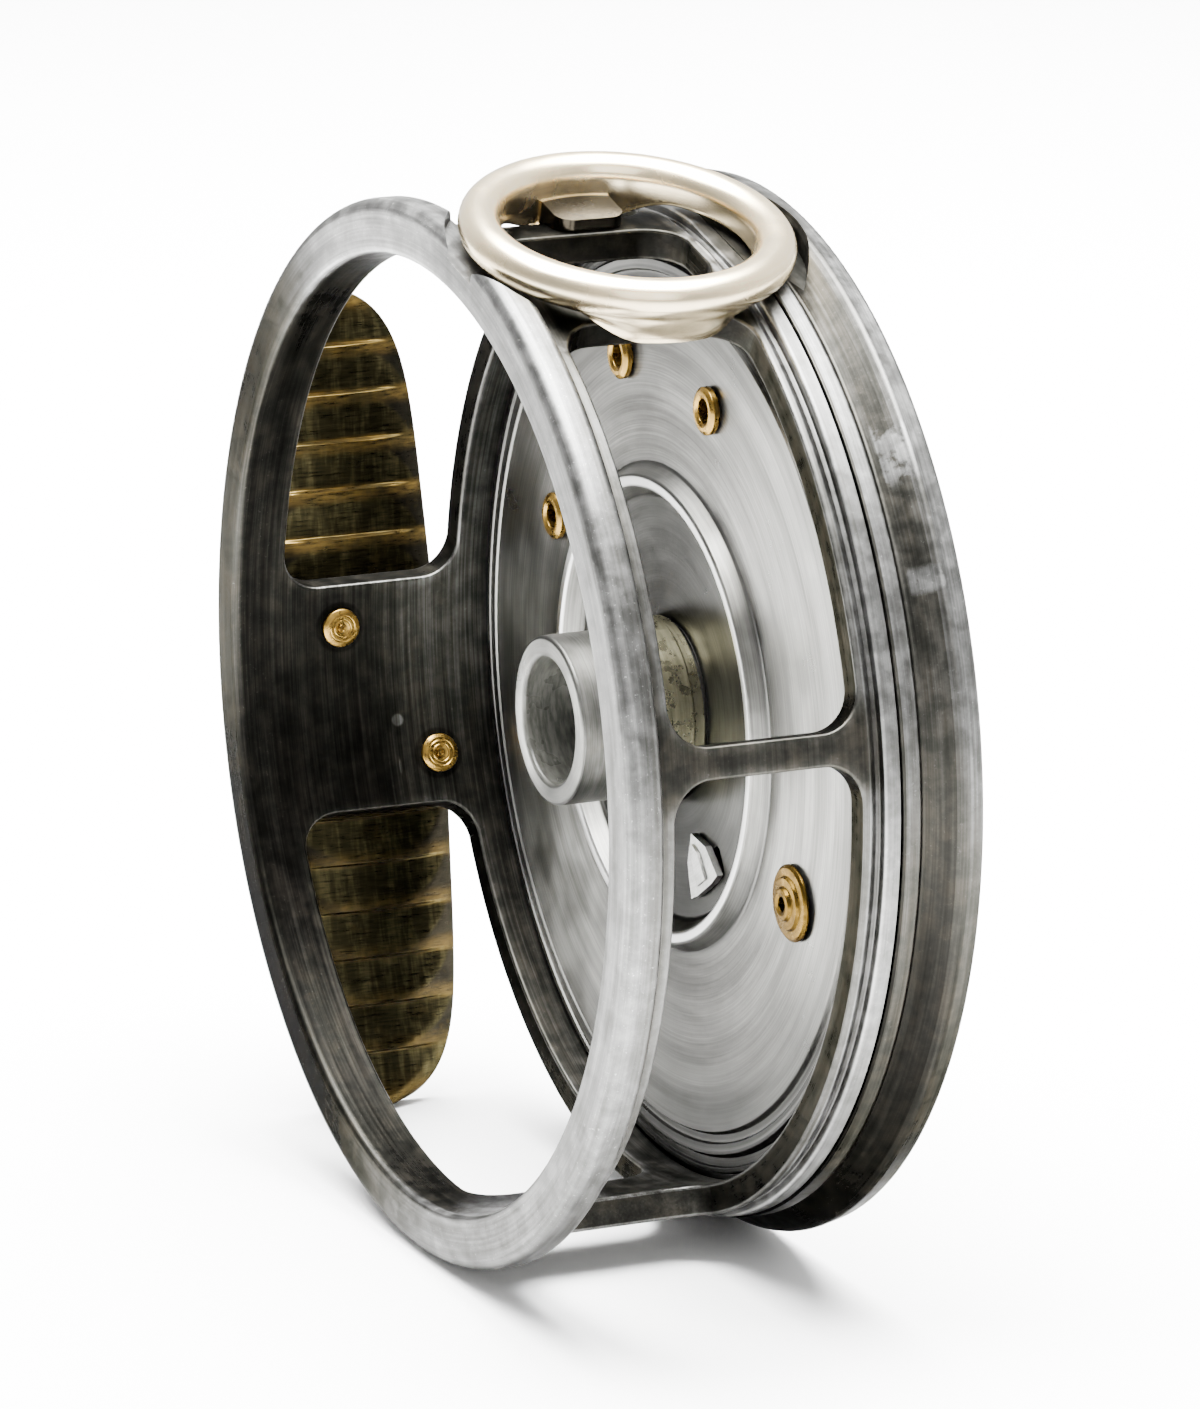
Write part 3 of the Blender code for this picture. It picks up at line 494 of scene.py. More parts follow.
def spot_distance(graph, angle, depth, stretch=1.0):
    """Distance from a spot on the cage's wall. The spot is drawn out round the wall by the stretch."""
    along = graph.mul(graph.turn_from(angle), radians(BORE_RADIUS) / stretch)
    return graph.vector("LENGTH", graph.join(along, graph.sub(graph.z, depth), 0.0))


def patina(graph, wear_and_light, streaks=0.07, fretting=0.14):
    """Colour, roughness and bump of the dark finish of the cage and the cover. wear_and_light runs from 0 to
    1: real wear, with the painted light and shade that the callers add to it.
    """
    fine = graph.lines(0.22, 2.5)
    broad = graph.lines(1.3, 3.0, 2.0)
    mottle = graph.noise(0.55, 5.0, 0.65)
    specks = graph.noise(3.4, 3.0, 0.7)
    streaked = graph.mul(graph.ramp(fine, 0.3, 0.7, -1.0, 1.0), streaks)
    marks = graph.add(streaked, graph.ramp(broad, 0.3, 0.7, -0.05, 0.05))
    marks = graph.add(marks, graph.ramp(mottle, 0.3, 0.7, -0.07, 0.07))
    fretted = graph.mul(graph.ramp(specks, 0.60, 0.76), fretting)
    marks = graph.add(marks, fretted)
    wear_and_light = graph.add(wear_and_light, marks)
    value = graph.mul(graph.math("POWER", PATINA_RANGE, wear_and_light), PATINA_BLACK)
    warm = graph.blend(graph.ramp(mottle, 0.4, 0.65), (1.0, 0.99, 0.86), (1.06, 0.98, 0.80))
    tone = graph.blend(graph.ramp(wear_and_light, 0.35, 0.8), warm, (1.0, 1.0, 0.97))
    colour = graph.tint(tone, value)
    roughness = graph.ramp(mottle, 0.3, 0.75, 0.34, 0.48)
    height = graph.add(graph.mul(fine, 0.6), graph.mul(specks, 0.4))
    return colour, roughness, graph.bump(height, 0.010)


def cage_material():
    # The cage's patina and wear, with painted light and shade added by angle and under the line guide.
    graph = Graph("cage_finish_and_painted_light", spindle_frame())
    edge = window_distance(graph)
    radius, depth = graph.radius, graph.z
    wall = graph.ramp(radius, 38.7, 40.9, 0.17, 0.50)
    haze = graph.ramp(depth, 10.0, 17.0, 0.0, 0.34)
    bore = graph.fall(radius, 38.8, 39.0)
    wear_and_light = graph.add(wall, graph.mul(haze, bore))
    rubbed = graph.ramp(edge, 0.1, 1.1, 0.14, 0.0)
    wear_and_light = graph.add(wear_and_light, rubbed)
    chamfer = graph.fall(edge, 0.08, 0.30)
    wear_and_light = graph.most(wear_and_light, graph.mul(chamfer, 0.62))
    # Darker on the windows' side walls.
    window_walls = graph.mul(graph.band(radius, 38.95, 40.8, 0.1), graph.fall(edge, 0.04, 0.16))
    wear_and_light = graph.mul(wear_and_light, graph.ramp(window_walls, 0.0, 1.0, 1.0, 0.45))
    for node in RIVETS:
        near = spot_distance(graph, *radial_spot(node))
        wear_and_light = graph.sub(wear_and_light, graph.mul(graph.band(near, 1.5, 2.0, 0.3), 0.18))
    dent = spot_distance(graph, 193.6, 13.9)
    wear_and_light = graph.add(wear_and_light, graph.ramp(dent, 0.42, 0.65, 0.40, 0.0))
    scratch = spot_distance(graph, 199.5, 13.7, 5.0)
    wear_and_light = graph.add(wear_and_light, graph.ramp(scratch, 0.08, 0.18, 0.30, 0.0))
    # Painted shade on the narrow pillar at about 9 degrees.
    narrow = graph.mul(graph.near_angle(9.4, 2.5, 4.0), 0.22)
    wear_and_light = graph.sub(wear_and_light, narrow)
    # Painted shade on the bridge under the line guide.
    bridge = graph.mul(graph.near_angle(GUIDE_ANGLE, 13.0, 4.0), graph.band(depth, 4.4, 19.4, 0.6))
    wear_and_light = graph.sub(wear_and_light, graph.mul(bridge, 0.34))
    # Painted shade at the lower left, on the front ring and the wall.
    low_left_shade = graph.mul(graph.near_angle(218.0, 14.0, 24.0), 0.20)
    wear_and_light = graph.sub(wear_and_light, low_left_shade)
    # The front ring's colour is painted light by angle: lighter round the right and the top, with painted
    # highlights at the far left and the top, painted shade at the lower left, a little darker towards the
    # back of the ring, and painted shade on its inner face in the bore.
    painted_light_side = graph.near_angle(15.0, 85.0, 62.0)
    face = graph.ramp(painted_light_side, 0.0, 1.0, 0.20, 0.78)
    face = graph.add(face, graph.mul(graph.near_angle(180.0, 12.0, 20.0), 0.18))
    face = graph.add(face, graph.mul(graph.near_angle(100.0, 10.0, 20.0), 0.15))
    face = graph.sub(face, low_left_shade)
    face = graph.mul(face, graph.ramp(depth, 0.3, 1.3, 1.0, 0.88))
    in_bore = graph.mul(bore, graph.ramp(depth, -0.1, 0.4))
    face = graph.mul(face, graph.sub(1.0, graph.mul(in_bore, 0.62)))
    ring = graph.fall(depth, 2.3, 2.9)
    wear_and_light = graph.add(graph.mul(face, ring), graph.mul(wear_and_light, graph.sub(1.0, ring)))
    bead = graph.mul(graph.band(depth, 21.45, 22.7, 0.1), graph.ramp(radius, 41.1, 41.35))
    wear_and_light = graph.most(wear_and_light, graph.mul(bead, 0.74))
    # The groove behind the wall is painted lighter, as painted fill light against its shade.
    groove = graph.mul(graph.band(depth, 20.4, 21.5, 0.2), graph.ramp(radius, 39.4, 40.2))
    wear_and_light = graph.add(wear_and_light, graph.mul(groove, 0.22))
    streaks = graph.ramp(radius, 38.8, 39.0, 0.14, 0.05)
    fretting = graph.ramp(ring, 0.0, 1.0, 0.12, 0.26)
    colour, roughness, normal = patina(graph, wear_and_light, streaks, fretting)
    return graph.surface(colour, roughness, normal, edge=0.42)


def cover_material():
    # The cover's patina and wear, with painted shade on its lower right.
    graph = Graph("cover_finish_and_painted_light", spindle_frame())
    radius, depth = graph.radius, graph.z
    bead = graph.mul(graph.band(depth, 23.1, 24.3, 0.1), graph.ramp(radius, 41.2, 41.5))
    rim = graph.mul(graph.band(depth, 26.75, 29.0, 0.15), graph.ramp(radius, 42.3, 42.6))
    rim = graph.mul(rim, graph.ramp(depth, 27.2, 27.9, 0.62, 0.78))
    spots = graph.most(graph.near_angle(40.0, 2.0, 5.0), graph.near_angle(26.0, 0.8, 2.0))
    patch = graph.mul(spots, graph.band(depth, 25.3, 27.3, 0.6))
    patch = graph.mul(patch, graph.ramp(graph.noise(0.6, 4.0, 0.6), 0.30, 0.5, 0.4, 1.0))
    back_rim = graph.mul(graph.ramp(depth, 28.6, 28.9), graph.ramp(radius, 41.2, 42.0))
    back = graph.ramp(depth, 28.9, 29.05)
    rubbed = graph.mul(back, graph.ramp(graph.lines(3.0, 1.5), 0.35, 0.7, 0.35, 0.6))
    wear_and_light = graph.most(graph.mul(bead, 0.76), rim)
    wear_and_light = graph.most(wear_and_light, graph.mul(patch, 0.80))
    wear_and_light = graph.most(wear_and_light, graph.mul(back_rim, 0.7))
    # Painted shade over the lower right of the cover, on its band and its back.
    low = graph.near_angle(-58.0, 34.0, 40.0)
    wear_and_light = graph.most(graph.most(wear_and_light, rubbed), 0.46)
    wear_and_light = graph.sub(wear_and_light, graph.mul(low, 0.46))
    colour, roughness, normal = patina(graph, wear_and_light)
    return graph.surface(colour, roughness, normal, edge=0.42)


def bright_alloy_material(name, bore=False):
    """Turned aluminium alloy: close concentric lines and greasy stains, darker inside the ridge, with
    painted light and shade by angle, a painted highlight on the ridge's crest and painted shade in its
    corner.
    """
    graph = Graph(name, spindle_frame())
    fine = graph.lines(0.12, 1.2)
    broad = graph.lines(1.8, 1.5, 3.0)
    cloud = graph.noise(0.13, 4.0, 0.6)
    specks = graph.noise(2.6, 4.0, 0.75)
    light = graph.blend(graph.ramp(broad, 0.3, 0.7), (0.095, 0.094, 0.087), (0.20, 0.199, 0.185))
    colour = graph.blend(graph.ramp(cloud, 0.36, 0.66, 0.5, 0.0), light, (0.075, 0.075, 0.069))
    colour = graph.tint(colour, graph.ramp(fine, 0.25, 0.75, 0.70, 1.18))
    colour = graph.blend(graph.ramp(specks, 0.68, 0.78, 0.0, 0.5), colour, (0.08, 0.08, 0.07))
    rim = graph.ramp(graph.radius, 34.5, 35.1)
    steps = graph.mul(rim, graph.ramp(graph.lines(0.42, 0.25, 2.0), 0.42, 0.56))
    colour = graph.blend(graph.mul(steps, 0.75), colour, (0.03, 0.03, 0.028))
    hollow = graph.band(graph.radius, 7.0, 17.3, 0.3)
    colour = graph.tint(colour, graph.ramp(hollow, 0.0, 1.0, 1.0, 0.35))
    # Painted reflection and shade by angle: lighter at the left and right and darker at the top and bottom,
    # painted shade at the lower right and painted light at the lower left. Then darker on the tube's front
    # face, brighter inside a radius of 7, and darker towards the outer rim.
    side = graph.math("ABSOLUTE", graph.div(graph.x, graph.most(graph.radius, 0.01)))
    for shade in (
        (side, 0.1, 0.95, 0.70, 1.30),
        (graph.near_angle(-64.0, 14.0, 40.0), 0.0, 1.0, 1.0, 0.55),
        (graph.near_angle(205.0, 20.0, 25.0), 0.0, 1.0, 1.0, 1.5),
        (graph.radius, 7.0, 7.1, 4.0, 1.0),
        (graph.z, TUBE_FRONT + 0.2, TUBE_FRONT + 0.55, 0.2, 1.0),
        (graph.radius, 30.0, 34.5, 1.0, 0.75),
    ):
        colour = graph.tint(colour, graph.ramp(*shade))
    # Painted highlight along the crest of the plate's ridge.
    crest = graph.mul(graph.band(graph.radius, 18.2, 18.9, 0.15), graph.fall(graph.z, 20.9, 21.0))
    colour = graph.blend(graph.mul(crest, 0.6), colour, (0.75, 0.75, 0.73))
    # Painted shade in the corner at the outer foot of the ridge.
    corner = graph.mul(graph.band(graph.radius, 19.6, 20.1, 0.2), graph.ramp(graph.z, 21.2, 21.8))
    colour = graph.blend(graph.mul(corner, 0.6), colour, (0.05, 0.05, 0.048))
    roughness = graph.ramp(cloud, 0.3, 0.7, 0.27, 0.40)
    if bore:
        inside = graph.fall(graph.radius, 5.2, 5.5)
        grime = graph.ramp(graph.lines(0.4, 3.0), 0.35, 0.65)
        grime = graph.blend(grime, (0.035, 0.035, 0.030), (0.08, 0.08, 0.07))
        colour = graph.blend(inside, colour, grime)
        graph.fill(graph.shader.inputs["Metallic"], graph.sub(1.0, graph.mul(inside, 0.85)))
    height = graph.add(graph.mul(fine, 0.8), graph.mul(specks, 0.1))
    return graph.surface(colour, roughness, graph.bump(height, 0.007), anisotropy=0.5, edge=0.6)


def brass_material(name, place_frame, tarnish=0.35, bright=(0.28, 0.172, 0.040)):
    """Turned brass with rings of tarnish round its own axis."""
    graph = Graph(name, place_frame)
    fine = graph.lines(0.10, 1.2)
    broad = graph.lines(0.45, 1.5, 2.0)
    cloud = graph.noise(0.9, 4.0, 0.65)
    clean = graph.tint(bright, graph.ramp(broad, 0.3, 0.7, 0.70, 1.08))
    dull = tuple(0.16 * part for part in bright)
    shade = graph.add(graph.ramp(cloud, 0.3, 0.8, 0.0, tarnish), graph.ramp(fine, 0.4, 0.8, 0.0, 0.25))
    colour = graph.blend(shade, clean, dull)
    roughness = graph.ramp(cloud, 0.3, 0.7, 0.22, 0.38)
    return graph.surface(colour, roughness, graph.bump(fine, 0.010), edge=0.6)


def nickel_silver_material():
    graph = Graph("guide_finish_and_painted_light", radial_frame(GUIDE_ANGLE, GUIDE_DEPTH))
    rub = graph.lines(0.35, 2.5, 3.0)
    cloud = graph.noise(0.25, 4.0, 0.6)
    grain = graph.noise(7.0, 3.0, 0.7)
    colour = graph.blend(graph.ramp(cloud, 0.35, 0.7), (0.95, 0.80, 0.53), (0.82, 0.67, 0.42))
    colour = graph.tint(colour, graph.ramp(rub, 0.3, 0.7, 0.93, 1.06))
    # Painted shade and painted dark reflection on the guide's lower part, below its lip.
    low = graph.ramp(graph.z, 40.2, 42.0, 0.35, 0.0)
    colour = graph.blend(low, colour, (0.40, 0.31, 0.18))
    # Painted shade on the guide's inner wall, below its top.
    inside = graph.mul(graph.fall(graph.radius, 9.7, 9.95), graph.fall(graph.z, 42.1, 42.3))
    colour = graph.blend(inside, colour, (0.022, 0.019, 0.014))
    roughness = graph.ramp(cloud, 0.3, 0.75, 0.20, 0.30)
    height = graph.add(graph.mul(rub, 0.5), graph.mul(grain, 0.5))
    return graph.surface(colour, roughness, graph.bump(height, 0.006))


def foot_material():
    """Cast brass, dark with age: the crests of the ribs and the tips are rubbed, and the margins greyish.
    The crests also carry a painted highlight, painted brighter on the upper half.
    """
    graph = Graph("foot_finish_and_painted_light", radial_frame(FOOT_ANGLE, FOOT_DEPTH))
    reach = graph.math("ABSOLUTE", graph.sub(graph.x, FOOT_SHIFT))
    phase = graph.math("FRACT", graph.div(graph.sub(reach, RIB_START), RIB_PITCH))
    across = graph.div(graph.y, FOOT_HALF_WIDTH - 0.5)
    ribbed = graph.ramp(reach, RIB_START - 0.2, RIB_START)
    dip = graph.sub(RIB_DEPTH, graph.mul(graph.math("POWER", phase, 1.6), RIB_DEPTH))
    dip = graph.sub(dip, graph.mul(graph.math("POWER", across, 2.0), RIB_MARGIN))
    margin = graph.mul(graph.fall(dip, -0.10, 0.04), ribbed)
    # The rib walls and crests: rubbed gold, with a painted highlight on them.
    crest = graph.most(graph.ramp(phase, 0.66, 0.95), graph.fall(phase, 0.03, 0.16))
    along = graph.mul(graph.x, 5.0)
    strokes = graph.noise(1.0, 4.0, 0.65, graph.join(along, graph.mul(graph.y, 0.5), graph.z))
    drawn = graph.join(graph.mul(graph.x, 0.15), graph.mul(graph.y, 1.1), graph.z)
    stripes = graph.noise(1.0, 3.0, 0.6, drawn)
    cloud = graph.noise(0.32, 4.0, 0.65)
    dark = graph.blend(graph.ramp(strokes, 0.2, 0.8), (0.008, 0.0075, 0.0035), (0.026, 0.022, 0.010))
    dark = graph.tint(dark, graph.ramp(stripes, 0.42, 0.72, 0.8, 2.2))
    grey = graph.blend(graph.ramp(cloud, 0.35, 0.65), (0.012, 0.0105, 0.0070), (0.006, 0.0055, 0.004))
    gold = graph.blend(graph.ramp(cloud, 0.35, 0.65), (0.115, 0.074, 0.020), (0.055, 0.040, 0.014))
    colour = graph.blend(margin, dark, grey)
    # Rubbed gold on the rib crests, with a painted highlight that is painted brighter on the upper half than
    # the lower; then rubbed tips and patches.
    rubbed = graph.mul(graph.mul(crest, ribbed), graph.ramp(strokes, 0.3, 0.6, 0.25, 0.85))
    upper = graph.ramp(graph.x, -9.0, 9.0, 0.35, 1.0)
    rubbed = graph.mul(rubbed, upper)
    rubbed = graph.add(rubbed, graph.ramp(reach, 31.5, 35.0, 0.0, 0.2))
    rubbed = graph.add(rubbed, graph.ramp(cloud, 0.58, 0.74, 0.0, 0.3), clamp=True)
    colour = graph.blend(rubbed, colour, gold)
    roughness = graph.ramp(strokes, 0.3, 0.7, 0.26, 0.42)
    return graph.surface(colour, roughness, graph.bump(strokes, 0.025), edge=0.5)


def steel_material(name, place_frame, tone, roughness=0.3):
    """Polished or blued steel: a fine grain, handling marks and a slight tint."""
    graph = Graph(name, place_frame)
    grain = graph.noise(4.0, 4.0, 0.7)
    fine = graph.lines(0.12, 1.5)
    cloud = graph.noise(0.5, 3.0, 0.6)
    colour = graph.blend(graph.ramp(cloud, 0.3, 0.7), tone, tuple(0.6 * part for part in tone))
    colour = graph.tint(colour, graph.ramp(fine, 0.3, 0.7, 0.85, 1.1))
    rough = graph.ramp(grain, 0.3, 0.7, roughness - 0.06, roughness + 0.08)
    return graph.surface(colour, rough, graph.bump(grain, 0.004))


# ---------------- cage


def cage_profile():
    return filleted([
        (BORE_RADIUS, CAGE_END), (BORE_RADIUS, RING_FRONT, 0.6), (RING_RADIUS, RING_FRONT, 1.2),
        (RING_RADIUS, 2.2, 0.7), (WALL_RADIUS, 2.8, 0.3), (WALL_RADIUS, 20.4, 0.3),
        (40.7, 20.95, 0.25), (40.7, 21.35, 0.12), (41.5, 21.42, 0.4), (41.5, CAGE_END, 0.08),
    ])


def window_outline(first, last):
    low, high = radians(first) * WALL_MIDDLE, radians(last) * WALL_MIDDLE
    front, back = WINDOW_DEPTHS
    fillet = WINDOW_FILLET
    corners = [(low, front, fillet), (high, front, fillet), (high, back, fillet), (low, back, fillet)]
    return filleted(corners, step=6.0)


def is_window_edge(edge, ends):
    """True for an edge where a window's wall meets the inner or outer face of the unrolled cage."""
    heights = [vert.co.z / MM for vert in edge.verts]
    level = any(max(abs(height - face) for height in heights) < 1e-3 for face in (BORE_RADIUS, WALL_RADIUS))
    if not level or len(edge.link_faces) != 2:
        return False
    if any(abs(vert.co.x / MM - end) < 1e-3 for vert in edge.verts for end in ends):
        return False
    steep = sorted(abs(face.normal.z) for face in edge.link_faces)
    return steep[0] < 0.01 and steep[1] > 0.99


def make_cage(material):
    """Cuts and bevels the windows in the unrolled wall, then rolls it up and drills it."""
    start, end = (radians(SEAM_ANGLE + turn) * WALL_MIDDLE for turn in (0.0, 360.0))
    across = Matrix(((0, 0, 1, 0), (0, 1, 0, 0), (1, 0, 0, 0), (0, 0, 0, 1)))
    cage = object_from("cage_body", prism(cage_profile(), across, start, end))
    windows = []
    for first, last in WINDOWS:
        if (first + last) / 2 < SEAM_ANGLE:
            first, last = first + 360, last + 360
        windows.append(prism(window_outline(first, last), Matrix.Identity(4), *THROUGH_WALL))
    cut(cage, *windows)

    bm = bmesh.new()
    bm.from_mesh(cage.data)
    bm.normal_update()
    rims = [edge for edge in bm.edges if is_window_edge(edge, (start, end))]
    bmesh.ops.bevel(bm, geom=rims, offset=WINDOW_BEVEL * MM, segments=3, profile=0.5, affect="EDGES")
    caps = []
    for face in bm.faces:
        gaps = [min(abs(vert.co.x / MM - end_x) for end_x in (start, end)) for vert in face.verts]
        if abs(face.normal.x) > 0.99 and max(gaps) < 1e-3:
            caps.append(face)
    bmesh.ops.delete(bm, geom=caps, context="FACES")
    for column in range(1, CAGE_COLUMNS):
        x = start + (end - start) * column / CAGE_COLUMNS
        parts = bm.verts[:] + bm.edges[:] + bm.faces[:]
        bmesh.ops.bisect_plane(bm, geom=parts, plane_co=(x * MM, 0, 0), plane_no=(1, 0, 0), dist=1e-7)
    for vert in bm.verts:
        x, depth, radius = vert.co / MM
        vert.co = place(radius, degrees(x / WALL_MIDDLE), depth) * MM
    bmesh.ops.remove_doubles(bm, verts=bm.verts, dist=1e-6)
    bmesh.ops.recalc_face_normals(bm, faces=bm.faces)
    bm.to_mesh(cage.data)
    bm.free()

    drills = [guide_seat(), *rivet_holes()]
    for node in GUIDE_SCREWS:
        screw_frame = radial_frame(*radial_spot(node))
        drills.append(lathe(guide_screw_profile(SCREW_ROOM), screw_frame, 48, closed=False))
    cut(cage, *drills)
    finish_piece(cage, material, "cage")


def guide_seat():
    """The round flat that the line guide needs in the front ring, the flange and the cover."""
    return pin(radial_frame(GUIDE_ANGLE, GUIDE_DEPTH), GUIDE_SEAT_RADIUS, GUIDE_SEAT_HEIGHT, 48.0, 128)


def rivet_holes():
    return [pin(radial_frame(*radial_spot(node)), 1.25, *THROUGH_WALL) for node in RIVETS]


# ---------------- cover


def cover_profile():
    return filleted([
        (0.0, REEL_DEPTH), (38.4, REEL_DEPTH, 0.1), (38.6, REEL_DEPTH - 0.14, 0.1),
        (38.9, REEL_DEPTH - 0.14, 0.1), (39.1, REEL_DEPTH, 0.1), (43.0, REEL_DEPTH, 0.5),
        (COVER_RADIUS, 27.2, 0.5), (41.35, 24.62, 0.3), (41.7, 24.3, 0.4), (41.7, 22.84, 0.10),
        (40.6, 22.84), (40.6, 23.05), (40.0, 23.05), (40.0, 24.4), (37.6, 24.4), (37.6, 27.5, 0.8),
        (0.0, 27.5),
    ])


def cover_screw_profile(grow=0.0):
    """Countersunk cover screw, from its tip in the bush to its head in the back of the cover."""
    head_back = REEL_DEPTH - 0.12 + grow * 8
    tip = [(0, 22.9 - grow), (0.85 + grow, 22.9 - grow)]
    head = [(0.85 + grow, 27.9), (2.0 + grow, 28.75), (2.0 + grow, head_back), (0, head_back)]
    return tip + head


def make_cover(material):
    cover = lathe_piece("cover_body", cover_profile(), spindle_frame(), 256, closed=False)
    drills = [guide_seat()]
    for side in SIDES:
        bush_frame = spindle_frame(*axis_spot(f"plate_bush_{side}"))
        drills.append(lathe(cover_screw_profile(SCREW_ROOM), bush_frame, 48, closed=False))
    recess = [(0, 31.0), (4.6, 31.0), (4.6, 29.1), (4.4, 28.9), (4.4, 28.2)]
    recess += [(1.3, 28.2), (1.3, 26.0), (0, 26.0)]
    drills.append(lathe(recess, spindle_frame(*axis_spot("regulator_bush")), 96, closed=False))
    cut(cover, *drills)
    finish_piece(cover, material, "back_cover")


# ---------------- bearing plate and hub


def plate_profile():
    return filleted([
        (7.15, 24.1), (7.15, 22.35, 0.15), (7.6, 22.2), (17.3, 22.2, 0.5), (18.2, 20.5, 0.4),
        (19.1, 20.5, 0.4), (19.95, 21.9, 0.4), (20.6, 21.9), (34.6, 21.9, 0.12),
        (34.85, 22.35, 0.1), (35.5, 22.35, 0.08), (35.62, 22.15, 0.08), (36.5, 22.15, 0.1),
        (36.8, 22.7, 0.08), (37.5, 22.7, 0.08), (37.62, 22.5, 0.06), (38.0, 22.5, 0.06),
        (38.15, 23.05, 0.05), (PLATE_RADIUS, 23.05), (PLATE_RADIUS, 24.1),
    ])


def pawl_axes():
    out = Vector((cos(radians(PAWL_ANGLE)), sin(radians(PAWL_ANGLE))))
    return out, Vector((out.y, -out.x))


def in_pawl_axes(base, pairs):
    """Points (x, y) in the spindle's frame, from (x, z) points given along and aside of the pawl."""
    out, aside = pawl_axes()
    points = [base + out * first + aside * second for first, second in pairs]
    return [(point.x, -point.y) for point in points]


def make_plate(material):
    plate = lathe_piece("plate_body", plate_profile(), spindle_frame(), 256)
    drills = []
    for side in SIDES:
        drills.append(pin(spindle_frame(*axis_spot(f"plate_bush_{side}")), 1.6, *THROUGH_PLATE))
    drills.append(pin(spindle_frame(*axis_spot("regulator_bush")), 2.35, *THROUGH_PLATE))
    window = [(12.85, -3.1), (12.85, 3.1), (15.25, 3.1), (15.25, -3.1)]
    outline = filleted([(*point, 0.6) for point in in_pawl_axes(Vector((0, 0)), window)])
    drills.append(prism(outline, spindle_frame(), *THROUGH_PLATE))
    cut(plate, *drills)
    finish_piece(plate, material, "bearing_plate")


def make_hub(tube_material, collar_material):
    bore = 5.15
    tube = [
        (bore, 27.1), (bore, TUBE_FRONT, 0.4), (TUBE_RADIUS, TUBE_FRONT, 0.35), (TUBE_RADIUS, 27.1),
    ]
    tube = lathe_piece("tube_body", filleted(tube), spindle_frame(), 128)
    finish_piece(tube, tube_material, "hub_tube")
    collar = [
        (TUBE_RADIUS + 0.2, 21.9), (TUBE_RADIUS + 0.2, COLLAR_FRONT, 0.1),
        (COLLAR_RADIUS, COLLAR_FRONT, 0.3), (COLLAR_RADIUS, 20.9, 0.1),
        (COLLAR_RADIUS - 0.25, 21.1, 0.1), (COLLAR_RADIUS - 0.25, 21.9),
    ]
    collar = lathe_piece("collar_body", filleted(collar), spindle_frame(), 128)
    finish_piece(collar, collar_material, "hub_collar")


# ---------------- line guide


def guide_screw_profile(grow=0.0):
    head = [(0, BORE_RADIUS + 0.02 - grow * 10), (1.4 + grow, BORE_RADIUS + 0.02 - grow * 10)]
    neck = [(1.4 + grow, BORE_RADIUS + 0.3), (0.6 + grow, BORE_RADIUS + 1.2)]
    tip = [(0.6 + grow, WALL_RADIUS + 0.6 + grow), (0, WALL_RADIUS + 0.6 + grow)]
    return head + neck + tip


def bridge_sector(radius):
    """Outline of the part of the wall that the guide straddles, across the spindle."""
    first, last = WINDOWS[2][1] - 0.2, WINDOWS[4][0] + 0.2
    outline = arc((0.0, 0.0), radius, -first, -last, 32)
    outline += [(30.0 * cos(radians(last)), -30.0 * sin(radians(last)))]
    outline += [(30.0 * cos(radians(first)), -30.0 * sin(radians(first)))]
    return outline


def guide_section(x, y):
    """Section of the guide on one side of its ring: lip, skirt and, on a tab, the foot below the skirt."""
    away = smooth(abs(y * GUIDE_RADIUS - GUIDE_TAB_LEAD), 2.5, 9.4)
    low = GUIDE_TAB_FOOT + (41.55 - GUIDE_TAB_FOOT) * away
    lip = arc((GUIDE_RADIUS, GUIDE_HEIGHT), GUIDE_WIRE, 180, -52, 34)
    last = Vector(lip[-1])
    outer = []
    steps = 10
    for step in range(1, steps + 1):
        share = step / steps
        radius = last.x - 0.95 * smooth(share, 0.0, 0.9) - 0.8 * away * share
        outer.append((radius, last.y + (low - last.y) * share))
    inner_radius = GUIDE_RADIUS - GUIDE_WIRE
    base = [(inner_radius + 0.25, low), (inner_radius, low + 0.2)]
    inner = []
    for step in range(1, 6):
        inner.append((inner_radius, base[-1][1] + (GUIDE_HEIGHT - base[-1][1]) * step / 6))
    return lip + outer + base + inner


def make_guide(material):
    """A fat rounded ring whose skirt comes down in two tabs that hook over the cage's bridge."""
    segments = 240
    guide_frame = radial_frame(GUIDE_ANGLE, GUIDE_DEPTH)
    bm = bmesh.new()
    rings = []
    for segment in range(segments):
        turn = 2 * pi * segment / segments
        x, y = cos(turn), sin(turn)
        points = [Vector((radius * x, radius * y, height)) for radius, height in guide_section(x, y)]
        rings.append([bm.verts.new(guide_frame @ point * MM) for point in points])
    join_rings(bm, rings + rings[:1])
    guide = object_from("guide_body", bm)
    flanges = []
    for side in (-1, 1):
        inner, high = GUIDE_FLANGE
        near, away = side * inner, side * 10.6
        outline = filleted([(near, -3.2, 1.4), (away, -3.2), (away, 2.6), (near, 2.6, 1.4)])
        flanges.append(prism(outline, guide_frame, GUIDE_TAB_FOOT + 0.05, high))
    combine(guide, "UNION", *flanges)
    cut(guide, prism(bridge_sector(WALL_RADIUS + 0.03), spindle_frame(), 4.0, 23.0))
    finish_piece(guide, material, "line_guide", sharp=55.0)


def make_guide_screws(material):
    for node in GUIDE_SCREWS:
        screw_frame = radial_frame(*radial_spot(node))
        name = node.removeprefix("line_")
        screw = lathe_piece(name, guide_screw_profile(), screw_frame, 48, closed=False)
        slot_frame = screw_frame @ Matrix.Rotation(radians(35), 4, "Z")
        cut(screw, prism(rectangle(-3, 3, 0.22), slot_frame, 36.0, BORE_RADIUS + 0.42))
        ease_edges(screw, 0.04)
        finish_piece(screw, material, node)


# ---------------- reel foot


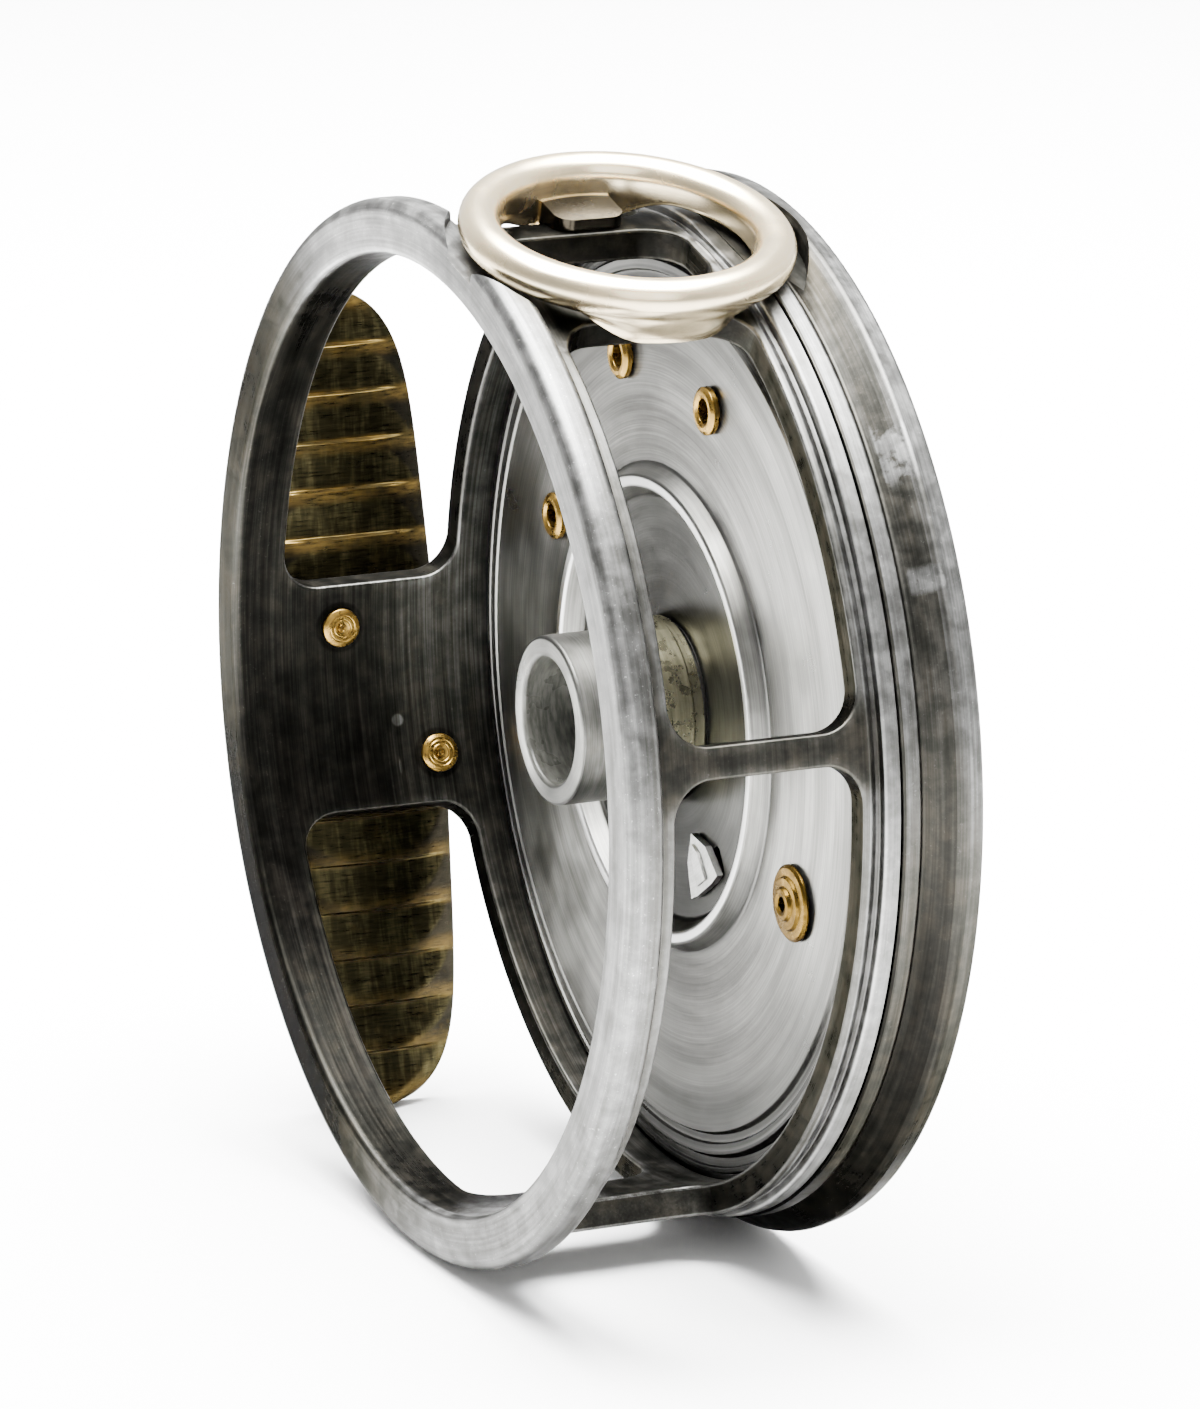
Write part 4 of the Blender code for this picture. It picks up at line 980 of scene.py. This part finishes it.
def foot_half_width(along):
    reach = min(1.0, abs(along) / FOOT_HALF_LENGTH)
    taper = FOOT_HALF_WIDTH - 0.9 * reach
    return taper * sqrt(max(0.0, 1.0 - reach**9))


def rib_cut(along, across):
    """Depth of the shingle-like cuts between the ribs: steep towards the middle, easing out to the tip."""
    start = abs(along) - RIB_START
    if not 0.0 < start < RIB_COUNT * RIB_PITCH:
        return 0.0
    phase = (start / RIB_PITCH) % 1.0
    wall = smooth(phase, 0.0, 0.07)
    dip = RIB_DEPTH * (1.0 - phase**1.6) - RIB_MARGIN * across**2
    return wall * max(0.0, dip)


def foot_underside(along, across):
    reach = abs(along)
    seat = sqrt((WALL_RADIUS + 0.3) ** 2 - min(reach, FOOT_SEAT_HALF + 1) ** 2)
    if reach <= FOOT_SEAT_HALF:
        return seat
    ramp = (reach - FOOT_SEAT_HALF) / (FOOT_HALF_LENGTH - FOOT_SEAT_HALF)
    crown = 2.5 - 1.1 * ramp
    free = FOOT_UNDERSIDE + 1.7 * ramp + crown * across**2 + rib_cut(along, across)
    return seat + (free - seat) * smooth(reach, FOOT_SEAT_HALF, FOOT_SEAT_HALF + 0.5)


def foot_rod_side(across):
    flare = max(0.0, (abs(across) - 0.35) / 0.65)
    return FOOT_TOP + 1.5 * flare**2


def foot_stations():
    stations = []
    along = 0.0
    while along < FOOT_HALF_LENGTH - 1.0:
        stations.append(along)
        phase = ((along - RIB_START) / RIB_PITCH) % 1.0
        fine = along > RIB_START - 0.2 and (phase < 0.1 or phase > 0.95)
        along += 0.07 if fine else 0.3
    steps = 14
    for step in range(steps):
        stations.append(FOOT_HALF_LENGTH - 0.95 * (1 - step / steps) ** 2 - 0.01)
    return [-value for value in reversed(stations[1:])] + stations


def make_foot(material):
    place_frame = radial_frame(FOOT_ANGLE, FOOT_DEPTH)
    count = 28
    shares = [-1 + 2 * step / count for step in range(count + 1)]
    bm = bmesh.new()
    rings = []
    for along in foot_stations():
        width = foot_half_width(along)
        under = [(share * width, foot_underside(along, share)) for share in shares]
        over = [(share * width, foot_rod_side(share)) for share in reversed(shares)]
        points = [Vector((along + FOOT_SHIFT, y, z)) for y, z in under + over]
        rings.append([bm.verts.new(place_frame @ point * MM) for point in points])
    join_rings(bm, rings)
    for ring in (rings[0], rings[-1]):
        bm.faces.new(ring)
    foot = object_from("foot_body", bm)
    cut(foot, *rivet_holes())
    finish_piece(foot, material, "reel_foot", sharp=40.0)


def make_rivets():
    for node in RIVETS:
        rivet_frame = radial_frame(*radial_spot(node))
        pip = [(0, 37.98, 0.0), (0.12, 37.98), (0.2, 37.86), (0.34, 37.86), (0.42, 38.02)]
        rings = []
        for radius in (0.75, 1.1):
            rings += [(radius - 0.08, 37.95), (radius, 38.0), (radius + 0.08, 37.95)]
        head = pip + rings + [(1.32, 37.97, 0.1), (1.65, 38.14, 0.15), (1.65, 38.45)]
        shank = [(1.15, 38.45), (1.15, 44.35), (1.1, 44.5, 0.1), (0, 44.55)]
        name = node.removeprefix("foot_")
        rivet = lathe_piece(name, filleted(head + shank), rivet_frame, 64, closed=False)
        finish_piece(rivet, brass_material(f"{name}_brass", rivet_frame), node)


# ---------------- bushes, posts and screws


def make_bushes():
    for side in SIDES:
        spot = axis_spot(f"plate_bush_{side}")
        bush_frame = spindle_frame(*spot)
        flange = [
            (1.0, 24.0), (1.0, 21.15, 0.08), (1.3, 20.98, 0.12), (1.62, 21.0, 0.1),
            (1.95, 21.25, 0.1), (1.95, 21.65), (1.4, 21.65), (1.4, 24.0),
        ]
        brass = brass_material(f"bush_{side}_brass", bush_frame)
        bush = lathe_piece(f"bush_{side}", filleted(flange), bush_frame, 64)
        finish_piece(bush, brass, f"plate_bush_{side}")
        post = filleted([(1.1, 24.4, 0.1), (2.4, 24.4, 0.15), (2.4, 27.2, 0.15), (1.1, 27.2, 0.1)])
        post = lathe_piece(f"post_{side}", post, bush_frame, 48)
        finish_piece(post, brass, f"housing_post_{side}")
        screw = lathe_piece(f"screw_{side}", cover_screw_profile(), bush_frame, 64, closed=False)
        slot_frame = bush_frame @ Matrix.Rotation(radians(spot[1]), 4, "Z")
        cut(screw, prism(rectangle(-3, 3, 0.3), slot_frame, 28.4, 30.0))
        ease_edges(screw, 0.06)
        steel = steel_material(f"screw_{side}_steel", bush_frame, (0.14, 0.14, 0.155), 0.34)
        finish_piece(screw, steel, f"cover_screw_{side}")


def make_regulator():
    bush_frame = spindle_frame(*axis_spot("regulator_bush"))
    steps = [
        (0.6, 22.2), (0.6, 20.72, 0.06), (0.95, 20.6, 0.1), (1.25, 20.66, 0.08), (1.4, 20.95, 0.08),
        (2.05, 21.0, 0.08), (2.2, 21.25, 0.06), (2.85, 21.3, 0.12), (3.1, 21.5, 0.08), (3.1, 21.65),
        (2.15, 21.65), (2.15, 24.0), (1.3, 24.0), (1.3, 22.2),
    ]
    bush = lathe_piece("regulator_bush_body", filleted(steps), bush_frame, 96)
    brass = brass_material("regulator_brass", bush_frame, 0.6, (0.115, 0.068, 0.013))
    finish_piece(bush, brass, "regulator_bush")
    button = [
        (1.3, 28.4), (4.2, 28.4, 0.1), (4.2, 29.0, 0.2), (3.55, 29.0, 0.05), (3.45, 28.9, 0.05),
        (3.3, 28.9, 0.05), (3.2, 29.0, 0.05), (1.3, 29.0, 0.05),
    ]
    button = lathe_piece("regulator_button_body", filleted(button), bush_frame, 96)
    slots = [prism(rectangle(side * 1.9, side * 5.0, 0.5), bush_frame, 28.7, 30.0) for side in (-1, 1)]
    cut(button, *slots)
    ease_edges(button, 0.05)
    brass = brass_material("button_brass", bush_frame, 0.5)
    finish_piece(button, brass, "regulator_button", body="regulator")


# ---------------- click check


def make_pawl(material):
    pivot = pawl_axes()[0] * 22.0
    reach = 11.2

    def plate(pairs, low, high):
        return prism(in_pawl_axes(pivot, pairs), spindle_frame(), low, high)

    def upright(pair, radius, low, high, segments):
        centre = in_pawl_axes(pivot, [pair])[0]
        return pin(spindle_frame() @ Matrix.Translation((*centre, 0.0)), radius, low, high, segments)

    lever = [(-reach + 1.2, -1.6), (-2.6, -2.2), (0.6, -2.6), (2.4, -1.4), (2.6, 1.2), (2.3, 7.4)]
    lever += [(0.6, 7.4), (0.1, 2.4), (-2.6, 2.0), (-reach + 1.2, 1.6)]
    stalk = [(-8.7, -0.8), (-7.4, -0.8), (-7.4, 0.8), (-8.7, 0.8)]
    shield = [(-reach, 0.0), (-9.4, -2.0), (-6.6, -2.9), (-6.4, -1.6), (-6.4, 1.6), (-6.6, 2.9), (-9.4, 2.0)]
    ridge = [(-reach + 0.9, 0.0), (-9.2, -0.7), (-7.0, -0.9), (-7.0, 0.9), (-9.2, 0.7)]
    pawl = object_from("pawl_body", plate(lever, 24.5, 26.0))
    nose = (plate(stalk, 21.7, 25.2), plate(shield, 21.5, 22.1), plate(ridge, 21.3, 21.8))
    combine(pawl, "UNION", *nose, upright((1.5, 7.0), 0.6, 25.2, 26.9, 32))
    cut(pawl, upright((0.0, 0.0), 1.3, 20.0, 27.4, 48))
    ease_edges(pawl, 0.12, 3)
    finish_piece(pawl, material, "check_pawl", body="pawl")


def dress_inner_nodes():
    """Gives the CAD nodes that stay, inside the closed housing, a real finish each."""
    brass = brass_material("housing_brass", spindle_frame())
    steel = steel_material("housing_steel", spindle_frame(), (0.42, 0.43, 0.45))
    blued = steel_material("housing_blued", spindle_frame(), (0.08, 0.09, 0.13), 0.34)
    finishes = {
        "hub_nut": brass,
        "regulator_cam": brass,
        "regulator_shaft": steel,
        "pawl_stud": steel,
        "spring_post": steel,
        "tension_arm": steel,
        "check_spring": blued,
    }
    for node, material in finishes.items():
        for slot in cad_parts[node].material_slots:
            slot.material = material


# ---------------- stage


def make_floor():
    bm = bmesh.new()
    bmesh.ops.create_grid(bm, x_segments=1, y_segments=1, size=4.0)
    floor = object_from("floor", bm)
    floor.location.z = GROUND - 0.00002
    paper = bpy.data.materials.new("paper")
    paper.use_nodes = True
    shader = paper.node_tree.nodes["Principled BSDF"]
    shader.inputs["Base Color"].default_value = (0.9, 0.9, 0.9, 1.0)
    shader.inputs["Roughness"].default_value = 0.9
    shader.inputs["Specular IOR Level"].default_value = 0.1
    floor.data.materials.append(paper)


def add_light(name, location, rotation, size, radiance, spread=180.0):
    """Soft box with an even brightness. A spread below 180 degrees narrows its beam, as a grid does."""
    light = bpy.data.lights.new(name, "AREA")
    light.shape = "RECTANGLE"
    light.size, light.size_y = size
    light.energy = radiance * pi * size[0] * size[1]
    light.spread = radians(spread)
    lamp = link(bpy.data.objects.new(name, light))
    lamp.location = location
    lamp.rotation_euler = rotation


def make_world():
    """Even white room, brighter behind the object and dimmer in front of it."""
    world = bpy.data.worlds.new("room")
    world.use_nodes = True
    tree = world.node_tree
    sky = tree.nodes["Background"]
    where = tree.nodes.new("ShaderNodeTexCoord")
    towards = tree.nodes.new("ShaderNodeVectorMath")
    towards.operation = "DOT_PRODUCT"
    towards.inputs[1].default_value = Vector((-0.62, 0.70, 0.35)).normalized()
    tree.links.new(where.outputs["Generated"], towards.inputs[0])
    strength = tree.nodes.new("ShaderNodeMapRange")
    strength.interpolation_type = "SMOOTHSTEP"
    for key, value in (("From Min", -0.6), ("From Max", 0.9), ("To Min", 0.6), ("To Max", 2.0)):
        strength.inputs[key].default_value = value
    tree.links.new(towards.outputs["Value"], strength.inputs["Value"])
    tree.links.new(strength.outputs[0], sky.inputs["Strength"])
    sky.inputs["Color"].default_value = (1.0, 1.0, 1.0, 1.0)
    bpy.context.scene.world = world


def make_camera():
    azimuth, elevation = radians(CAMERA_AZIMUTH), radians(CAMERA_ELEVATION)
    back = Vector((sin(azimuth) * cos(elevation), -cos(azimuth) * cos(elevation), sin(elevation)))
    right = Vector((cos(azimuth), sin(azimuth), 0.0))
    up = back.cross(right)
    target = Vector((0.0, CAMERA_TARGET_DEPTH - REEL_DEPTH, 0.0)) + (right + up) * CAMERA_OFFSET
    camera = bpy.data.cameras.new("camera")
    camera.sensor_fit = "AUTO"
    camera.sensor_width = 36.0
    camera.lens = CAMERA_LENS
    camera.clip_start = 0.01
    camera.clip_end = 20.0
    viewer = link(bpy.data.objects.new("camera", camera))
    location = (target + back * CAMERA_DISTANCE) * MM
    turn = Matrix((right, up, back)).transposed().to_4x4()
    viewer.matrix_world = Matrix.Translation(location) @ turn
    bpy.context.scene.camera = viewer


def make_lights():
    over = Vector((-0.20, 0.07, 0.66))
    add_light("overhead", over, (0.0, 0.0, radians(CAMERA_AZIMUTH)), (0.85, 1.00), 19.0, spread=80.0)
    side = Vector((0.9, -0.1, 0.45))
    add_light("right", side, side.to_track_quat("Z", "Y").to_euler(), (0.6, 0.6), 3.0)


# ---------------- the whole reel

make_world()
make_camera()
make_lights()
make_floor()
make_cage(cage_material())
make_cover(cover_material())
make_plate(bright_alloy_material("plate_finish_and_painted_light"))
tube_alloy = bright_alloy_material("tube_finish_and_painted_light", bore=True)
make_hub(tube_alloy, brass_material("collar_brass", spindle_frame(), 0.2, COLLAR_BRASS))
nickel = nickel_silver_material()
make_guide(nickel)
make_guide_screws(nickel)
make_foot(foot_material())
make_rivets()
make_bushes()
make_regulator()
make_pawl(steel_material("pawl_steel", spindle_frame(), (0.27, 0.27, 0.255), 0.34))
dress_inner_nodes()
